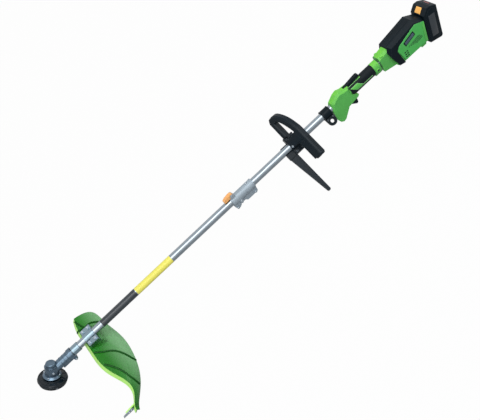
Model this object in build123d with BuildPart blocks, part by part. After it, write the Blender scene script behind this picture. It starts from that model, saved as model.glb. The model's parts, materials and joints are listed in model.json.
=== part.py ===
"""Cordless split-shaft string trimmer, in millimetres.

The shaft tube lies along X, with the cutting head towards -X and the battery towards +X. +Z is up, and the
origin is on the tube's axis, in its bare stretch below the coupling.
"""
import math
import os

from build123d import *

# Shaft tube
TUBE_R = 14.0
TUBE_WALL = 1.6
TUBE_BORE_R = TUBE_R - TUBE_WALL
TUBE_FIT = 0.05
LOWER_TUBE = (-596.0, 250.0)
UPPER_TUBE = (254.0, 926.0)
DARK_BAND = (-418.0, -256.0)
YELLOW_BAND = (-254.0, -86.0)
BAND_THICK = 0.25
COLLAR = (-560.0, -529.0)
COLLAR_R = 17.0

# Drive line, on the tube's axis
SHAFT_R = 4.0
RUNNING = 0.05
LOWER_SHAFT = (-612.0, 247.0)
UPPER_SHAFT = (249.0, 962.0)
COUPLER = (228.0, 268.0)
COUPLER_R = 8.5
BUSH_LENGTH = 20.0
BUSH_STARTS = (-490.0, -290.0, -90.0, 110.0, 330.0, 500.0, 670.0, 840.0)

# Gear head: the spindle leans back from square to the tube
HEAD_X = -661.5
HEAD_TILT = 35.3
CASE_R = 24.0
CASE_FLANGE_R = 33.0
CASE_FLANGE_EASE = 6.0
CASE_BOTTOM = -16.0
CASE_SHOULDER = -8.0
CASE_TOP = 24.0
CASE_CAVITY_R = 19.0
CASE_FLOOR = -3.5
NECK_R = 17.5
NECK_END = -562.0
NECK_RING_R = 20.0
NECK_RING_LENGTH = 16.0
BEARING_R = 10.5
SMALL_BEARING_R = 9.0
CAP_R = 18.5
CAP_TOP = 40.0
CAP_STEP = 4.0
CAP_STEP_R = 21.5
SPINDLE_R = 5.0

# Bevel gears: the pitch cones meet where the two axes cross
PINION_TEETH = 14
GEAR_TEETH = 19
CONE_OUTER = 26.5
CONE_INNER = 18.0
GEAR_PITCH_R = 14.0
TOOTH_SHARE = 0.40
FLANK_ANGLE = 20.0

# Trimmer head, measured along the spindle from the gear centre
HEAD_R = 53.0
HEAD_WALL = 3.0
COVER_TOP = -22.0
COVER_RIM = -36.0
BASE_TOP = -32.0
BASE_BOTTOM = -50.0
SPOOL = (-46.0, -36.0)
SPOOL_R = 42.0
SPOOL_CORE_R = 18.0
KNOB_R = 19.5
KNOB_BOTTOM = -60.0

# Guard, in a frame that is rolled about the tube towards the user's left
GUARD_ROLL = 20.0
GUARD_THICK = 3.0
GUARD_CLAMP = (-500.0, -458.0)
GUARD_CLAMP_HALF = 34.0
GUARD_LIP = (-13.0, -15.0)
# Each station: distance to the left, front edge X and height, back edge X and height, crown of the arc
GUARD_STATIONS = (
    (-118.0, -497.0, -38.0, -468.0, -50.0, 1.5),
    (-95.0, -503.0, -34.0, -430.0, -72.0, 4.0),
    (-50.0, -508.0, -24.0, -424.0, -92.0, 8.0),
    (0.0, -509.0, -20.0, -415.0, -102.0, 11.0),
    (90.0, -513.0, -26.0, -412.0, -108.0, 14.0),
    (160.0, -497.0, -38.0, -430.0, -112.0, 12.0),
    (225.0, -481.0, -58.0, -468.0, -112.0, 6.0),
    (268.0, -513.0, -84.0, -508.0, -112.0, 2.0),
    (286.0, -524.0, -95.0, -518.0, -112.0, 1.0),
)

# Split coupling
COUPLING = (203.0, 304.0)
COUPLING_R = 18.0
EAR_HALF = 7.0
EAR_SLIT = 2.5
COUPLING_BOLT_PLACES = ((209.0, -32.0), (232.0, -24.0), (292.0, -32.0))
LEVER_PIVOT = (216.0, 26.2)

# Loop handle and barrier, in a frame that is rolled about the tube towards the user's left
HANDLE_ROLL = 45.0
HANDLE_LEAN = 26.0
HANDLE_X = 497.0
HANDLE_CLAMP = (483.0, 523.0)
HANDLE_CLAMP_R = 20.0
HANDLE_CLAMP_HALF = 36.0
LOOP_BASE = 20.0
BARRIER_START = 454.0
BARRIER_END = 205.0

# Strap hanger, whose eye points down and left
HANGER = (637.0, 673.0)
HANGER_ROLL = 40.0
HANGER_R = 19.0
HANGER_PLATE = 6.0
EYE_REACH = 34.5
EYE_R = 6.8
EYE_LAND_R = 17.0

# Rear handle
GUARD_HALF = 18.0
GUARD_BEVEL = 8.0
GUARD_SHOULDER = 10.0
CORE_HALF = (16.5, 19.5)
SLEEVE_HALF = (19.5, 23.0)
SLEEVE = (754.0, 878.0)
RING = (878.0, 903.0)
TRIGGER_PIVOT = (744.0, -31.0)
TRIGGER_HALF = 6.5
LOCK_PIVOT = (763.0, 25.0)
LOCK_HALF = 6.0
PIVOT_PIN_R = 2.0
PIN_HALF = 14.0
SWITCH = (704.0, 731.0)
LEAD_R = 1.5
LEAD_ROOM = 0.2
LEAD_ROUTE = ((732.2, 4.0, -21.5), (743.0, 8.0, -14.3), (963.0, 8.0, -14.3))

# Power head
NOSE_HALF = 21.0
BODY_HALF = 30.0
COVER_HALF = 33.0
SHELL = 2.5
STATOR = (984.0, 1028.0)
STATOR_R = 24.5
ROTOR_R = 14.5
FAN = (1034.0, 1044.0)
FAN_R = 22.0
FAN_BLADES = 9

# Battery
BATTERY_HALF = 35.5
BATTERY_WALL = 2.0
CELL_R = 9.1
CELL_LENGTH = 65.0
BUTTON = (27.0, 22.0)
BATTERY_LEAN = 9.6

# Fasteners
M6_R = 3.0
M6_HEAD_R = 5.0
M6_HEAD = 6.0
M5_R = 2.5
M5_HEAD_R = 4.25
M5_HEAD = 5.0
M5_LOW_HEAD = 3.0
BOLT_CLEARANCE = 0.25

TILT_SIN = math.sin(math.radians(HEAD_TILT))
TILT_COS = math.cos(math.radians(HEAD_TILT))
HEAD = Plane(origin=(HEAD_X, 0, 0), x_dir=(TILT_COS, 0, -TILT_SIN), z_dir=(TILT_SIN, 0, TILT_COS))


def rolled(roll):
    """Directions to the left and up in a frame that is rolled about the tube towards the left."""
    s, c = math.sin(math.radians(roll)), math.cos(math.radians(roll))
    return Vector(0, -c, -s), Vector(0, -s, c)


def across(roll, left, x=0.0):
    """Plane square to the rolled left direction, with X along the tube and Y up."""
    side, _ = rolled(roll)
    return Plane(origin=side * left + Vector(x, 0, 0), x_dir=(1, 0, 0), z_dir=side)


def turned(plane, turn):
    """The same plane, turned about its own normal."""
    x_dir = plane.x_dir.rotate(Axis(plane.origin, plane.z_dir), turn)
    return Plane(origin=plane.origin, x_dir=x_dir, z_dir=plane.z_dir)


def x_ring(span, outer, inner=0.0):
    """Round bar or sleeve on the tube's axis."""
    with BuildPart() as ring:
        with BuildSketch(Plane.YZ.offset(span[0])):
            Circle(outer)
            if inner:
                Circle(inner, mode=Mode.SUBTRACT)
        extrude(amount=span[1] - span[0])
    return ring.part


def head_ring(span, outer, inner=0.0):
    """Round bar or sleeve on the spindle's axis."""
    with BuildPart() as ring:
        with BuildSketch(HEAD.offset(span[0])):
            Circle(outer)
            if inner:
                Circle(inner, mode=Mode.SUBTRACT)
        extrude(amount=span[1] - span[0])
    return ring.part


def socket_bolt(plane, grip, shank, head_r, head, nut=True):
    """Socket-head bolt: the head stands on the plane, and the shank goes down through the grip to a nut."""
    nut_depth = head * 0.8 if nut else 0.0
    with BuildPart() as bolt:
        with BuildSketch(plane):
            Circle(head_r)
        extrude(amount=head)
        chamfer(bolt.edges().group_by(Axis(plane.origin, plane.z_dir))[-1], length=head * 0.12)
        with BuildSketch(plane.offset(head)):
            RegularPolygon(head_r * 0.52, 6)
        extrude(amount=-head * 0.55, mode=Mode.SUBTRACT)
        with BuildSketch(plane):
            Circle(shank)
        extrude(amount=-grip - nut_depth)
        if nut:
            with BuildSketch(plane.offset(-grip)):
                RegularPolygon(head_r * 1.05, 6)
            extrude(amount=-nut_depth)
    return bolt.part


def save(part, name):
    """Names a piece and writes it to its own file."""
    part.label = name
    export_step(part, f"parts/{name}.step")


def save_group(pieces, name):
    """Writes like pieces as one node of separate solids."""
    solids = [solid for piece in pieces for solid in piece.solids()]
    save(Compound(children=solids), name)


os.makedirs("parts", exist_ok=True)

# Tubes, bands and collar
save(x_ring(LOWER_TUBE, TUBE_R, TUBE_BORE_R), "lower_tube")
save(x_ring(UPPER_TUBE, TUBE_R, TUBE_BORE_R), "upper_tube")
save(x_ring(DARK_BAND, TUBE_R + BAND_THICK, TUBE_R), "dark_band")
save(x_ring(YELLOW_BAND, TUBE_R + BAND_THICK, TUBE_R), "yellow_band")
with BuildPart() as tube_collar:
    add(x_ring(COLLAR, COLLAR_R, TUBE_R + TUBE_FIT))
    chamfer(tube_collar.edges().filter_by(GeomType.CIRCLE).sort_by(SortBy.RADIUS)[-2:], length=1.2)
save(tube_collar.part, "tube_collar")

# Drive line
save(x_ring(LOWER_SHAFT, SHAFT_R), "lower_drive_shaft")
save(x_ring(UPPER_SHAFT, SHAFT_R), "upper_drive_shaft")
save(x_ring(COUPLER, COUPLER_R, SHAFT_R + RUNNING), "shaft_coupler")
bushes = [x_ring((start, start + BUSH_LENGTH), TUBE_BORE_R - RUNNING, SHAFT_R + RUNNING)
          for start in BUSH_STARTS]
save_group(bushes, "shaft_bushes")

# Bevel gears
SHAFT_ANGLE = math.radians(90.0 - HEAD_TILT)
PINION_CONE = math.atan2(math.sin(SHAFT_ANGLE), GEAR_TEETH / PINION_TEETH + math.cos(SHAFT_ANGLE))
GEAR_CONE = SHAFT_ANGLE - PINION_CONE
MODULE = 2 * GEAR_PITCH_R / GEAR_TEETH
TOOTH_HALF = TOOTH_SHARE * math.pi * MODULE / 2
DEDENDUM = 1.25 * MODULE


def tooth_section(plane, cone, distance, turn):
    """Plane across a tooth at a cone distance, and the tooth's half widths at root and tip there."""
    scale = distance / CONE_OUTER
    out = Vector(math.sin(cone), 0, math.cos(cone))
    up = Vector(math.cos(cone), 0, -math.sin(cone))
    around = turned(plane, turn)
    frame = Plane(
        origin=around.from_local_coords(out * distance),
        x_dir=around.from_local_coords(up) - around.origin,
        z_dir=around.from_local_coords(out) - around.origin,
    )
    slope = math.tan(math.radians(FLANK_ANGLE))
    root = -DEDENDUM - 0.4
    low, high = TOOTH_HALF - root * slope, TOOTH_HALF - MODULE * slope
    points = [(root, -low), (MODULE, -high), (MODULE, high), (root, low)]
    return frame, [(x * scale, y * scale) for x, y in points]


def bevel(plane, cone, teeth, first_turn, hub_r, hub_end):
    """Straight bevel gear on a plane whose origin is the cones' shared point."""

    def root_ring(distance):
        scale = distance / CONE_OUTER
        radius = distance * math.sin(cone) - DEDENDUM * scale * math.cos(cone)
        height = distance * math.cos(cone) + DEDENDUM * scale * math.sin(cone)
        return radius, height

    inner_r, inner_z = root_ring(CONE_INNER)
    outer_r, outer_z = root_ring(CONE_OUTER)
    with BuildPart() as gear:
        with BuildSketch(Plane(origin=plane.origin, x_dir=plane.x_dir, z_dir=-plane.y_dir)):
            with BuildLine():
                Polyline((0, inner_z), (inner_r, inner_z), (outer_r, outer_z), (hub_r, outer_z + 1.0),
                         (hub_r, hub_end), (0, hub_end), close=True)
            make_face()
        revolve(axis=Axis(plane.origin, plane.z_dir))
        for index in range(teeth):
            turn = first_turn + index * 360.0 / teeth
            for distance in (CONE_INNER, CONE_OUTER):
                frame, points = tooth_section(plane, cone, distance, turn)
                with BuildSketch(frame):
                    with BuildLine():
                        Polyline(*points, close=True)
                    make_face()
            loft(ruled=True)
    return gear.part


PINION_FRAME = Plane(origin=(HEAD_X, 0, 0), x_dir=(0, 0, 1), z_dir=(1, 0, 0))
PINION_SHANK_R = 5.0
save(bevel(PINION_FRAME, PINION_CONE, PINION_TEETH, 0.0, PINION_SHANK_R, LOWER_SHAFT[0] - HEAD_X), "pinion")
GEAR_HUB_TOP = 31.0
with BuildPart() as bevel_gear:
    add(bevel(HEAD, GEAR_CONE, GEAR_TEETH, 180.0 / GEAR_TEETH, 8.0, GEAR_HUB_TOP))
    with BuildSketch(HEAD):
        Circle(SPINDLE_R)
    extrude(amount=GEAR_HUB_TOP, mode=Mode.SUBTRACT)
save(bevel_gear.part, "bevel_gear")

# Spindle with its drive flange, and the bearings
FLANGE = (-21.5, -17.5)
FLANGE_R = 19.0
SPINDLE = (-38.0, 37.0)
with BuildPart() as spindle:
    add(head_ring(SPINDLE, SPINDLE_R))
    add(head_ring(FLANGE, FLANGE_R))
save(spindle.part, "spindle")
UPPER_BEARING = (31.5, 37.0)
LOWER_BEARING = (-15.0, -4.0)
save_group([head_ring(UPPER_BEARING, SMALL_BEARING_R, SPINDLE_R + RUNNING),
            head_ring(LOWER_BEARING, BEARING_R, SPINDLE_R + RUNNING)], "spindle_bearings")
PINION_BEARINGS = ((-634.0, -626.0), (-624.0, -616.0))
MOTOR_BEARINGS = ((966.0, 973.0), (1047.0, 1054.0))
shaft_bearings = [x_ring(span, BEARING_R, PINION_SHANK_R + RUNNING) for span in PINION_BEARINGS]
shaft_bearings += [x_ring(span, SMALL_BEARING_R, SHAFT_R + RUNNING) for span in MOTOR_BEARINGS]
save_group(shaft_bearings, "shaft_bearings")

# Gear case: barrel on the spindle's axis, neck on the tube's axis with a slit clamp lug
LUG = (-577.0, -563.0)
LUG_BOTTOM = -36.0
LUG_HALF = 8.0
CLAMP_SCREW = (-570.0, -28.0)
LUG_EASE = 6.0
WEB_BOTTOM = -23.0
WEB_START = HEAD_X + 40.0
TUBE_SOCKET = -598.0
PINION_ROOM = (HEAD_X + 10.0, -635.0)
PINION_ROOM_R = 13.0
CLAMP_SLIT = 1.0
CLAMP_SLIT_TOP = -11.0
CAP_ROOM_R = 15.5
with BuildPart() as gear_case:
    add(head_ring((CASE_BOTTOM, CASE_SHOULDER), CASE_FLANGE_R))
    rims = gear_case.edges().filter_by(GeomType.CIRCLE).group_by(Axis(HEAD.origin, HEAD.z_dir))
    chamfer(rims[-1], length=CASE_FLANGE_EASE)
    add(head_ring((CASE_SHOULDER, CASE_TOP), CASE_R))
    add(x_ring((HEAD_X + 6, NECK_END), NECK_R))
    add(x_ring((NECK_END - NECK_RING_LENGTH, NECK_END), NECK_RING_R))
    with BuildSketch(Plane.XZ):
        with BuildLine():
            Polyline((WEB_START, -LUG_HALF), (WEB_START, WEB_BOTTOM), (LUG[0], WEB_BOTTOM),
                     (LUG[0], LUG_BOTTOM + LUG_EASE), (LUG[0] + LUG_EASE, LUG_BOTTOM),
                     (LUG[1] - LUG_EASE, LUG_BOTTOM), (LUG[1], LUG_BOTTOM + LUG_EASE), (LUG[1], -LUG_HALF), close=True)
        make_face()
    extrude(amount=LUG_HALF, both=True)
    add(head_ring((CASE_FLOOR, CASE_TOP), CASE_CAVITY_R), mode=Mode.SUBTRACT)
    add(head_ring((CASE_TOP, GEAR_HUB_TOP + 1), CAP_ROOM_R), mode=Mode.SUBTRACT)
    add(head_ring((CASE_BOTTOM, CASE_FLOOR), BEARING_R), mode=Mode.SUBTRACT)
    add(x_ring(PINION_ROOM, PINION_ROOM_R), mode=Mode.SUBTRACT)
    add(x_ring((PINION_ROOM[1] - 1, TUBE_SOCKET), BEARING_R), mode=Mode.SUBTRACT)
    add(x_ring((TUBE_SOCKET, NECK_END), TUBE_R + TUBE_FIT), mode=Mode.SUBTRACT)
    with BuildSketch(Plane.XZ):
        with BuildLine():
            Polyline((TUBE_SOCKET, CLAMP_SLIT_TOP), (NECK_END, CLAMP_SLIT_TOP), (NECK_END, LUG_BOTTOM),
                     (TUBE_SOCKET, LUG_BOTTOM), close=True)
        make_face()
    extrude(amount=CLAMP_SLIT, both=True, mode=Mode.SUBTRACT)
    with BuildSketch(Plane.XZ.offset(-LUG_HALF)):
        with Locations(CLAMP_SCREW):
            Circle(M5_R + BOLT_CLEARANCE)
    extrude(amount=2 * LUG_HALF, mode=Mode.SUBTRACT)
save(gear_case.part, "gear_case")

with BuildPart() as gear_case_cap:
    add(head_ring((CASE_TOP, CASE_TOP + CAP_STEP), CAP_STEP_R))
    add(head_ring((CASE_TOP + CAP_STEP, CAP_TOP), CAP_R))
    fillet(gear_case_cap.edges().group_by(Axis(HEAD.origin, HEAD.z_dir))[-1], radius=5)
    add(head_ring((CASE_TOP, UPPER_BEARING[0] - 0.5), CAP_ROOM_R), mode=Mode.SUBTRACT)
    add(x_ring((HEAD_X, NECK_END), NECK_R + TUBE_FIT), mode=Mode.SUBTRACT)
    add(head_ring((UPPER_BEARING[0] - 0.5, UPPER_BEARING[1] + 0.3), SMALL_BEARING_R), mode=Mode.SUBTRACT)
save(gear_case_cap.part, "gear_case_cap")

# Trimmer head: cover, base, spool, knob and spring
HUB_R = 8.0
HUB_BOTTOM = -39.0
KNOB_HOLE_R = KNOB_R + 0.5
SPRING_POCKET_R = 14.5
with BuildPart() as head_cover:
    with BuildSketch(Plane(origin=HEAD.origin, x_dir=HEAD.x_dir, z_dir=-HEAD.y_dir)):
        with BuildLine():
            Polyline((0, COVER_TOP), (26, COVER_TOP), (46, COVER_TOP - 4), (HEAD_R - 1.5, COVER_TOP - 5),
                     (HEAD_R, COVER_TOP - 7), (HEAD_R, COVER_RIM), (HEAD_R - HEAD_WALL, COVER_RIM),
                     (HEAD_R - HEAD_WALL, COVER_TOP - 8), (44, COVER_TOP - 7), (26, COVER_TOP - 3.5),
                     (HUB_R, COVER_TOP - 3.5), (HUB_R, HUB_BOTTOM), (0, HUB_BOTTOM), close=True)
        make_face()
    revolve(axis=Axis(HEAD.origin, HEAD.z_dir))
    add(head_ring((SPINDLE[0], COVER_TOP), SPINDLE_R), mode=Mode.SUBTRACT)
save(head_cover.part, "head_cover")

BASE_R = HEAD_R - HEAD_WALL - 0.1
EYELET_AT = -40.2
EYELET_R = 3.4
EYELET_GAP = 0.1
with BuildPart() as head_base:
    with BuildSketch(Plane(origin=HEAD.origin, x_dir=HEAD.x_dir, z_dir=-HEAD.y_dir)):
        with BuildLine():
            Polyline((BASE_R, BASE_BOTTOM + 5), (BASE_R, BASE_TOP), (BASE_R - HEAD_WALL, BASE_TOP),
                     (BASE_R - HEAD_WALL, BASE_BOTTOM + HEAD_WALL), (KNOB_HOLE_R, BASE_BOTTOM + HEAD_WALL),
                     (KNOB_HOLE_R, BASE_BOTTOM), (BASE_R - 5, BASE_BOTTOM), (BASE_R, BASE_BOTTOM + 5))
        make_face()
    revolve(axis=Axis(HEAD.origin, HEAD.z_dir))
    eyelet_level = HEAD.from_local_coords((0, 0, EYELET_AT))
    with BuildSketch(Plane(origin=eyelet_level, x_dir=HEAD.z_dir, z_dir=(0, 1, 0))):
        Circle(EYELET_R + EYELET_GAP)
    extrude(amount=HEAD_R + 5, both=True, mode=Mode.SUBTRACT)
save(head_base.part, "head_base")

eyelets = []
for facing in (1, -1):
    mouth = Plane(origin=HEAD.from_local_coords((0, facing * (BASE_R - HEAD_WALL), EYELET_AT)),
                  x_dir=HEAD.z_dir, z_dir=(0, facing, 0))
    with BuildPart() as eyelet:
        with BuildSketch(mouth):
            Circle(EYELET_R)
            Circle(EYELET_R / 2, mode=Mode.SUBTRACT)
        extrude(amount=HEAD_WALL + 0.4)
    eyelets.append(eyelet.part)
save_group(eyelets, "line_eyelets")

with BuildPart() as line_spool:
    add(head_ring(SPOOL, SPOOL_CORE_R))
    add(head_ring((SPOOL[0], SPOOL[0] + 2), SPOOL_R))
    add(head_ring((SPOOL[1] - 2, SPOOL[1]), SPOOL_R))
    add(head_ring((SPOOL[0] + 2, SPOOL[1]), SPRING_POCKET_R), mode=Mode.SUBTRACT)
    add(head_ring(SPOOL, HUB_R + 0.5), mode=Mode.SUBTRACT)
save(line_spool.part, "line_spool")
save(head_ring((SPOOL[0] + 2.2, SPOOL[1] - 2.2), SPOOL_R - 6, SPOOL_CORE_R + 0.2), "line_winding")

with BuildPart() as bump_knob:
    add(head_ring((KNOB_BOTTOM, SPOOL[0]), KNOB_R))
    fillet(bump_knob.edges().group_by(Axis(HEAD.origin, HEAD.z_dir))[0], radius=7)
save(bump_knob.part, "bump_knob")

SPRING = (SPOOL[0] + 2.4, COVER_TOP - 3.9)
SPRING_R = 11.4
SPRING_WIRE_R = 0.8
SPRING_PITCH = 3.2
with BuildPart() as bump_spring:
    with BuildLine():
        coil = Helix(pitch=SPRING_PITCH, height=SPRING[1] - SPRING[0] - 2 * SPRING_WIRE_R, radius=SPRING_R,
                     center=HEAD.from_local_coords((0, 0, SPRING[0] + SPRING_WIRE_R)), direction=HEAD.z_dir)
    with BuildSketch(Plane(origin=coil @ 0, z_dir=coil % 0)):
        Circle(SPRING_WIRE_R)
    sweep(is_frenet=True)
save(bump_spring.part, "bump_spring")

# Guard clamp: an upper saddle and a lower plate on the tube
GUARD_SIDE, GUARD_UP = rolled(GUARD_ROLL)
GUARD_MID = (GUARD_CLAMP[0] + GUARD_CLAMP[1]) / 2
GUARD_CLAMP_LENGTH = GUARD_CLAMP[1] - GUARD_CLAMP[0]
GUARD_SPLIT = Plane(origin=(GUARD_CLAMP[0], 0, 0), x_dir=-GUARD_SIDE, z_dir=(1, 0, 0))
GUARD_BOLT_SPOTS = [(GUARD_MID + along, left) for along in (-12.0, 12.0) for left in (-25.0, 25.0)]
SADDLE_FLANGE = 5.0
SADDLE_WALL = 3.5
CLAMP_PLATE = 18.0
SPLIT_GAP = 0.5


def guard_bolt_plane(along, left, height):
    """Plane square to the guard clamp's up direction, at a bolt."""
    spot = GUARD_SIDE * left + GUARD_UP * height + Vector(along, 0, 0)
    return Plane(origin=spot, x_dir=(1, 0, 0), z_dir=GUARD_UP)


def cut_guard_bolts(height, depth):
    """Clears the four bolts from the piece being built."""
    for along, left in GUARD_BOLT_SPOTS:
        with BuildSketch(guard_bolt_plane(along, left, height)) as hole:
            Circle(M6_R + BOLT_CLEARANCE)
        extrude(hole.sketch, amount=-depth, mode=Mode.SUBTRACT)


with BuildPart() as guard_clamp_upper:
    with BuildSketch(GUARD_SPLIT):
        Circle(TUBE_R + SADDLE_WALL)
        with Locations((0, SADDLE_FLANGE / 2 + SPLIT_GAP)):
            Rectangle(2 * GUARD_CLAMP_HALF, SADDLE_FLANGE)
        with Locations((0, SPLIT_GAP - GUARD_CLAMP_HALF)):
            Rectangle(2 * GUARD_CLAMP_HALF, 2 * GUARD_CLAMP_HALF, mode=Mode.SUBTRACT)
        Circle(TUBE_R + TUBE_FIT, mode=Mode.SUBTRACT)
    extrude(amount=GUARD_CLAMP_LENGTH)
    cut_guard_bolts(SADDLE_FLANGE + 1, SADDLE_FLANGE + 2)
save(guard_clamp_upper.part, "guard_clamp_upper")

with BuildPart() as guard_clamp_lower:
    with BuildSketch(GUARD_SPLIT):
        with Locations((0, -SPLIT_GAP - CLAMP_PLATE / 2)):
            Rectangle(2 * GUARD_CLAMP_HALF, CLAMP_PLATE)
        Circle(TUBE_R + TUBE_FIT, mode=Mode.SUBTRACT)
    extrude(amount=GUARD_CLAMP_LENGTH)
    cut_guard_bolts(1, CLAMP_PLATE + 2)
save(guard_clamp_lower.part, "guard_clamp_lower")
GUARD_BOLT_LENGTH = 32.0
guard_bolts = [socket_bolt(guard_bolt_plane(along, left, SADDLE_FLANGE + SPLIT_GAP), GUARD_BOLT_LENGTH, M6_R,
                           M6_HEAD_R, M6_HEAD, nut=False) for along, left in GUARD_BOLT_SPOTS]
save_group(guard_bolts, "guard_bolts")

# Guard: a crowned roof with a turned-down front lip, a box under the clamp and a tab for the line cutter
CLAMP_FOOT = -18.6
CUTTER_LEFT = 269.0
CUTTER_THICK = 1.6
CUTTER_TAB = 5.0
CUTTER_SCREWS = ((-552.0, -104.0), (-540.0, -104.0))


def guard_section(left, front_x, front_h, back_x, back_h, crown):
    """Thin closed section of the guard, square to its left direction."""
    front, back = Vector(front_x, front_h), Vector(back_x, back_h)
    lip = front + Vector(*GUARD_LIP)
    middle = (front + back) / 2 + Vector(0.6, 1.0) * crown
    roof, fall = (back - front).normalized(), (lip - front).normalized()
    roof_in, lip_in = Vector(roof.Y, -roof.X), Vector(-fall.Y, fall.X)
    corner_in = front + (roof_in + lip_in) * (GUARD_THICK / (1 + roof_in.dot(lip_in)))
    back_in, lip_end = back + roof_in * GUARD_THICK, lip + lip_in * GUARD_THICK
    with BuildSketch(across(GUARD_ROLL, left)) as section:
        with BuildLine():
            Line(lip, front)
            ThreePointArc(front, middle, back)
            Line(back, back_in)
            ThreePointArc(back_in, middle + roof_in * GUARD_THICK, corner_in)
            Line(corner_in, lip_end)
            Line(lip_end, lip)
        make_face()
    return section.sketch


with BuildPart() as guard:
    loft([guard_section(*station) for station in GUARD_STATIONS])
    with BuildSketch(across(GUARD_ROLL, -GUARD_CLAMP_HALF)):
        with BuildLine():
            Polyline((-504, CLAMP_FOOT), (-452, CLAMP_FOOT), (-452, -66), (-504, -33), close=True)
        make_face()
    extrude(amount=2 * GUARD_CLAMP_HALF)
    with BuildSketch(across(GUARD_ROLL, CUTTER_LEFT - CUTTER_TAB)):
        with BuildLine():
            Polyline((-561, -96), (-514, -88), (-511, -112), (-557, -115), close=True)
        make_face()
    extrude(amount=CUTTER_TAB)
    cut_guard_bolts(CLAMP_FOOT + 1, GUARD_BOLT_LENGTH / 2)
save(guard.part, "guard")

with BuildPart() as line_cutter:
    with BuildSketch(across(GUARD_ROLL, CUTTER_LEFT)):
        with BuildLine():
            Polyline((-580, -113), (-574, -97), (-532, -92), (-532, -114), close=True)
        make_face()
        with Locations(*CUTTER_SCREWS):
            Circle(M5_R + BOLT_CLEARANCE, mode=Mode.SUBTRACT)
    extrude(amount=CUTTER_THICK)
save(line_cutter.part, "line_cutter")

# Coupling: split sleeve with ears below, and a lift lever between two lugs on top
LUG_MIDDLE = 9.5
LUG_THICK = 3.6
LUG_OUTSIDE = LUG_MIDDLE + LUG_THICK / 2
with BuildPart() as coupling_body:
    add(x_ring(COUPLING, COUPLING_R))
    chamfer(coupling_body.edges().filter_by(GeomType.CIRCLE), length=1.2)
    with BuildSketch(Plane.XZ):
        with BuildLine():
            Polyline((COUPLING[0], -6), (COUPLING[0] - 2, -24), (205, -37), (215, -40), (223, -36),
                     (228, -30), (246, -30), (254, -39), (298, -39), (302, -34), (COUPLING[1], -6), close=True)
        make_face()
    extrude(amount=EAR_HALF, both=True)
    for lug_side in (-1, 1):
        with BuildSketch(Plane.XZ.offset(lug_side * LUG_MIDDLE - LUG_THICK / 2)):
            with BuildLine():
                Polyline((206, 8), (209, 28), (213, 31), (219, 31), (223, 28), (228, 8), close=True)
            make_face()
        extrude(amount=LUG_THICK)
    with BuildSketch(Plane.XZ):
        with Locations(LEVER_PIVOT):
            Circle(PIVOT_PIN_R + TUBE_FIT)
    extrude(amount=LUG_OUTSIDE, both=True, mode=Mode.SUBTRACT)
    add(x_ring((COUPLING[0] - 5, COUPLING[1] + 5), TUBE_R + TUBE_FIT), mode=Mode.SUBTRACT)
    with BuildSketch(Plane.XZ):
        with Locations(((COUPLING[0] + COUPLING[1]) / 2, -28)):
            Rectangle(COUPLING[1] - COUPLING[0] + 20, 34)
    extrude(amount=EAR_SLIT / 2, both=True, mode=Mode.SUBTRACT)
    with BuildSketch(Plane.XZ.offset(-EAR_HALF)):
        with Locations(*COUPLING_BOLT_PLACES):
            Circle(M6_R + BOLT_CLEARANCE)
    extrude(amount=2 * EAR_HALF, mode=Mode.SUBTRACT)
save(coupling_body.part, "coupling_body")

coupling_bolts = [
    socket_bolt(Plane(origin=(x, -EAR_HALF, z), x_dir=(1, 0, 0), z_dir=(0, -1, 0)), 2 * EAR_HALF, M6_R,
                M6_HEAD_R, M6_HEAD)
    for x, z in COUPLING_BOLT_PLACES
]
save_group(coupling_bolts, "coupling_bolts")

LEVER_HALF = 7.0
with BuildPart() as coupling_lever:
    with BuildSketch(Plane.XZ):
        with BuildLine():
            Polyline((181, 19.2), (182, 27.2), (190, 31.2), (213, 35.2), (221, 32.2), (223, 26.2),
                     (220, 21.2), (205, 18.8), (186, 17.8), close=True)
        make_face()
    extrude(amount=LEVER_HALF, both=True)
    fillet(coupling_lever.edges().filter_by(Plane.XZ, reverse=True).filter_by(Axis.Y), radius=1.5)
    with BuildSketch(Plane.XZ):
        with Locations(LEVER_PIVOT):
            Circle(PIVOT_PIN_R + TUBE_FIT)
    extrude(amount=LEVER_HALF, both=True, mode=Mode.SUBTRACT)
save(coupling_lever.part, "coupling_lever")

# Loop handle: a clamp half on the tube, a closed loop to the right and a deep arm to the left
HANDLE_SIDE, HANDLE_UP = rolled(HANDLE_ROLL)
LEAN_SIN, LEAN_COS = math.sin(math.radians(HANDLE_LEAN)), math.cos(math.radians(HANDLE_LEAN))
LEAN_UP = Vector(LEAN_SIN, 0, 0) + HANDLE_UP * LEAN_COS
LOOP_PLANE = Plane(origin=Vector(HANDLE_X, 0, 0) + HANDLE_UP * LOOP_BASE, x_dir=HANDLE_SIDE,
                   z_dir=HANDLE_SIDE.cross(LEAN_UP))
HANDLE_SPLIT = Plane(origin=(HANDLE_CLAMP[0], 0, 0), x_dir=-HANDLE_SIDE, z_dir=(1, 0, 0))
HANDLE_CLAMP_LENGTH = HANDLE_CLAMP[1] - HANDLE_CLAMP[0]
HANDLE_FLANGE = 9.0
CLAMP_GAP = 0.5
LOOP_THICK = 23.0
LOOP_EDGE = 4.0
HEAD_ROOM = 60.0
HANDLE_BOLT_SPOTS = [(HANDLE_X + along, left) for along in (-6.0, 18.0) for left in (-28.0, 28.0)]


def handle_bolt_plane(along, left, height):
    """Plane square to the handle's up direction, at a bolt."""
    spot = HANDLE_SIDE * left + HANDLE_UP * height + Vector(along, 0, 0)
    return Plane(origin=spot, x_dir=(1, 0, 0), z_dir=HANDLE_UP)


def cut_handle_bolts(height, depth, radius):
    """Clears the four clamp bolts from the piece being built."""
    for along, left in HANDLE_BOLT_SPOTS:
        with BuildSketch(handle_bolt_plane(along, left, height)) as hole:
            Circle(radius)
        extrude(hole.sketch, amount=-depth, mode=Mode.SUBTRACT)


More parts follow.
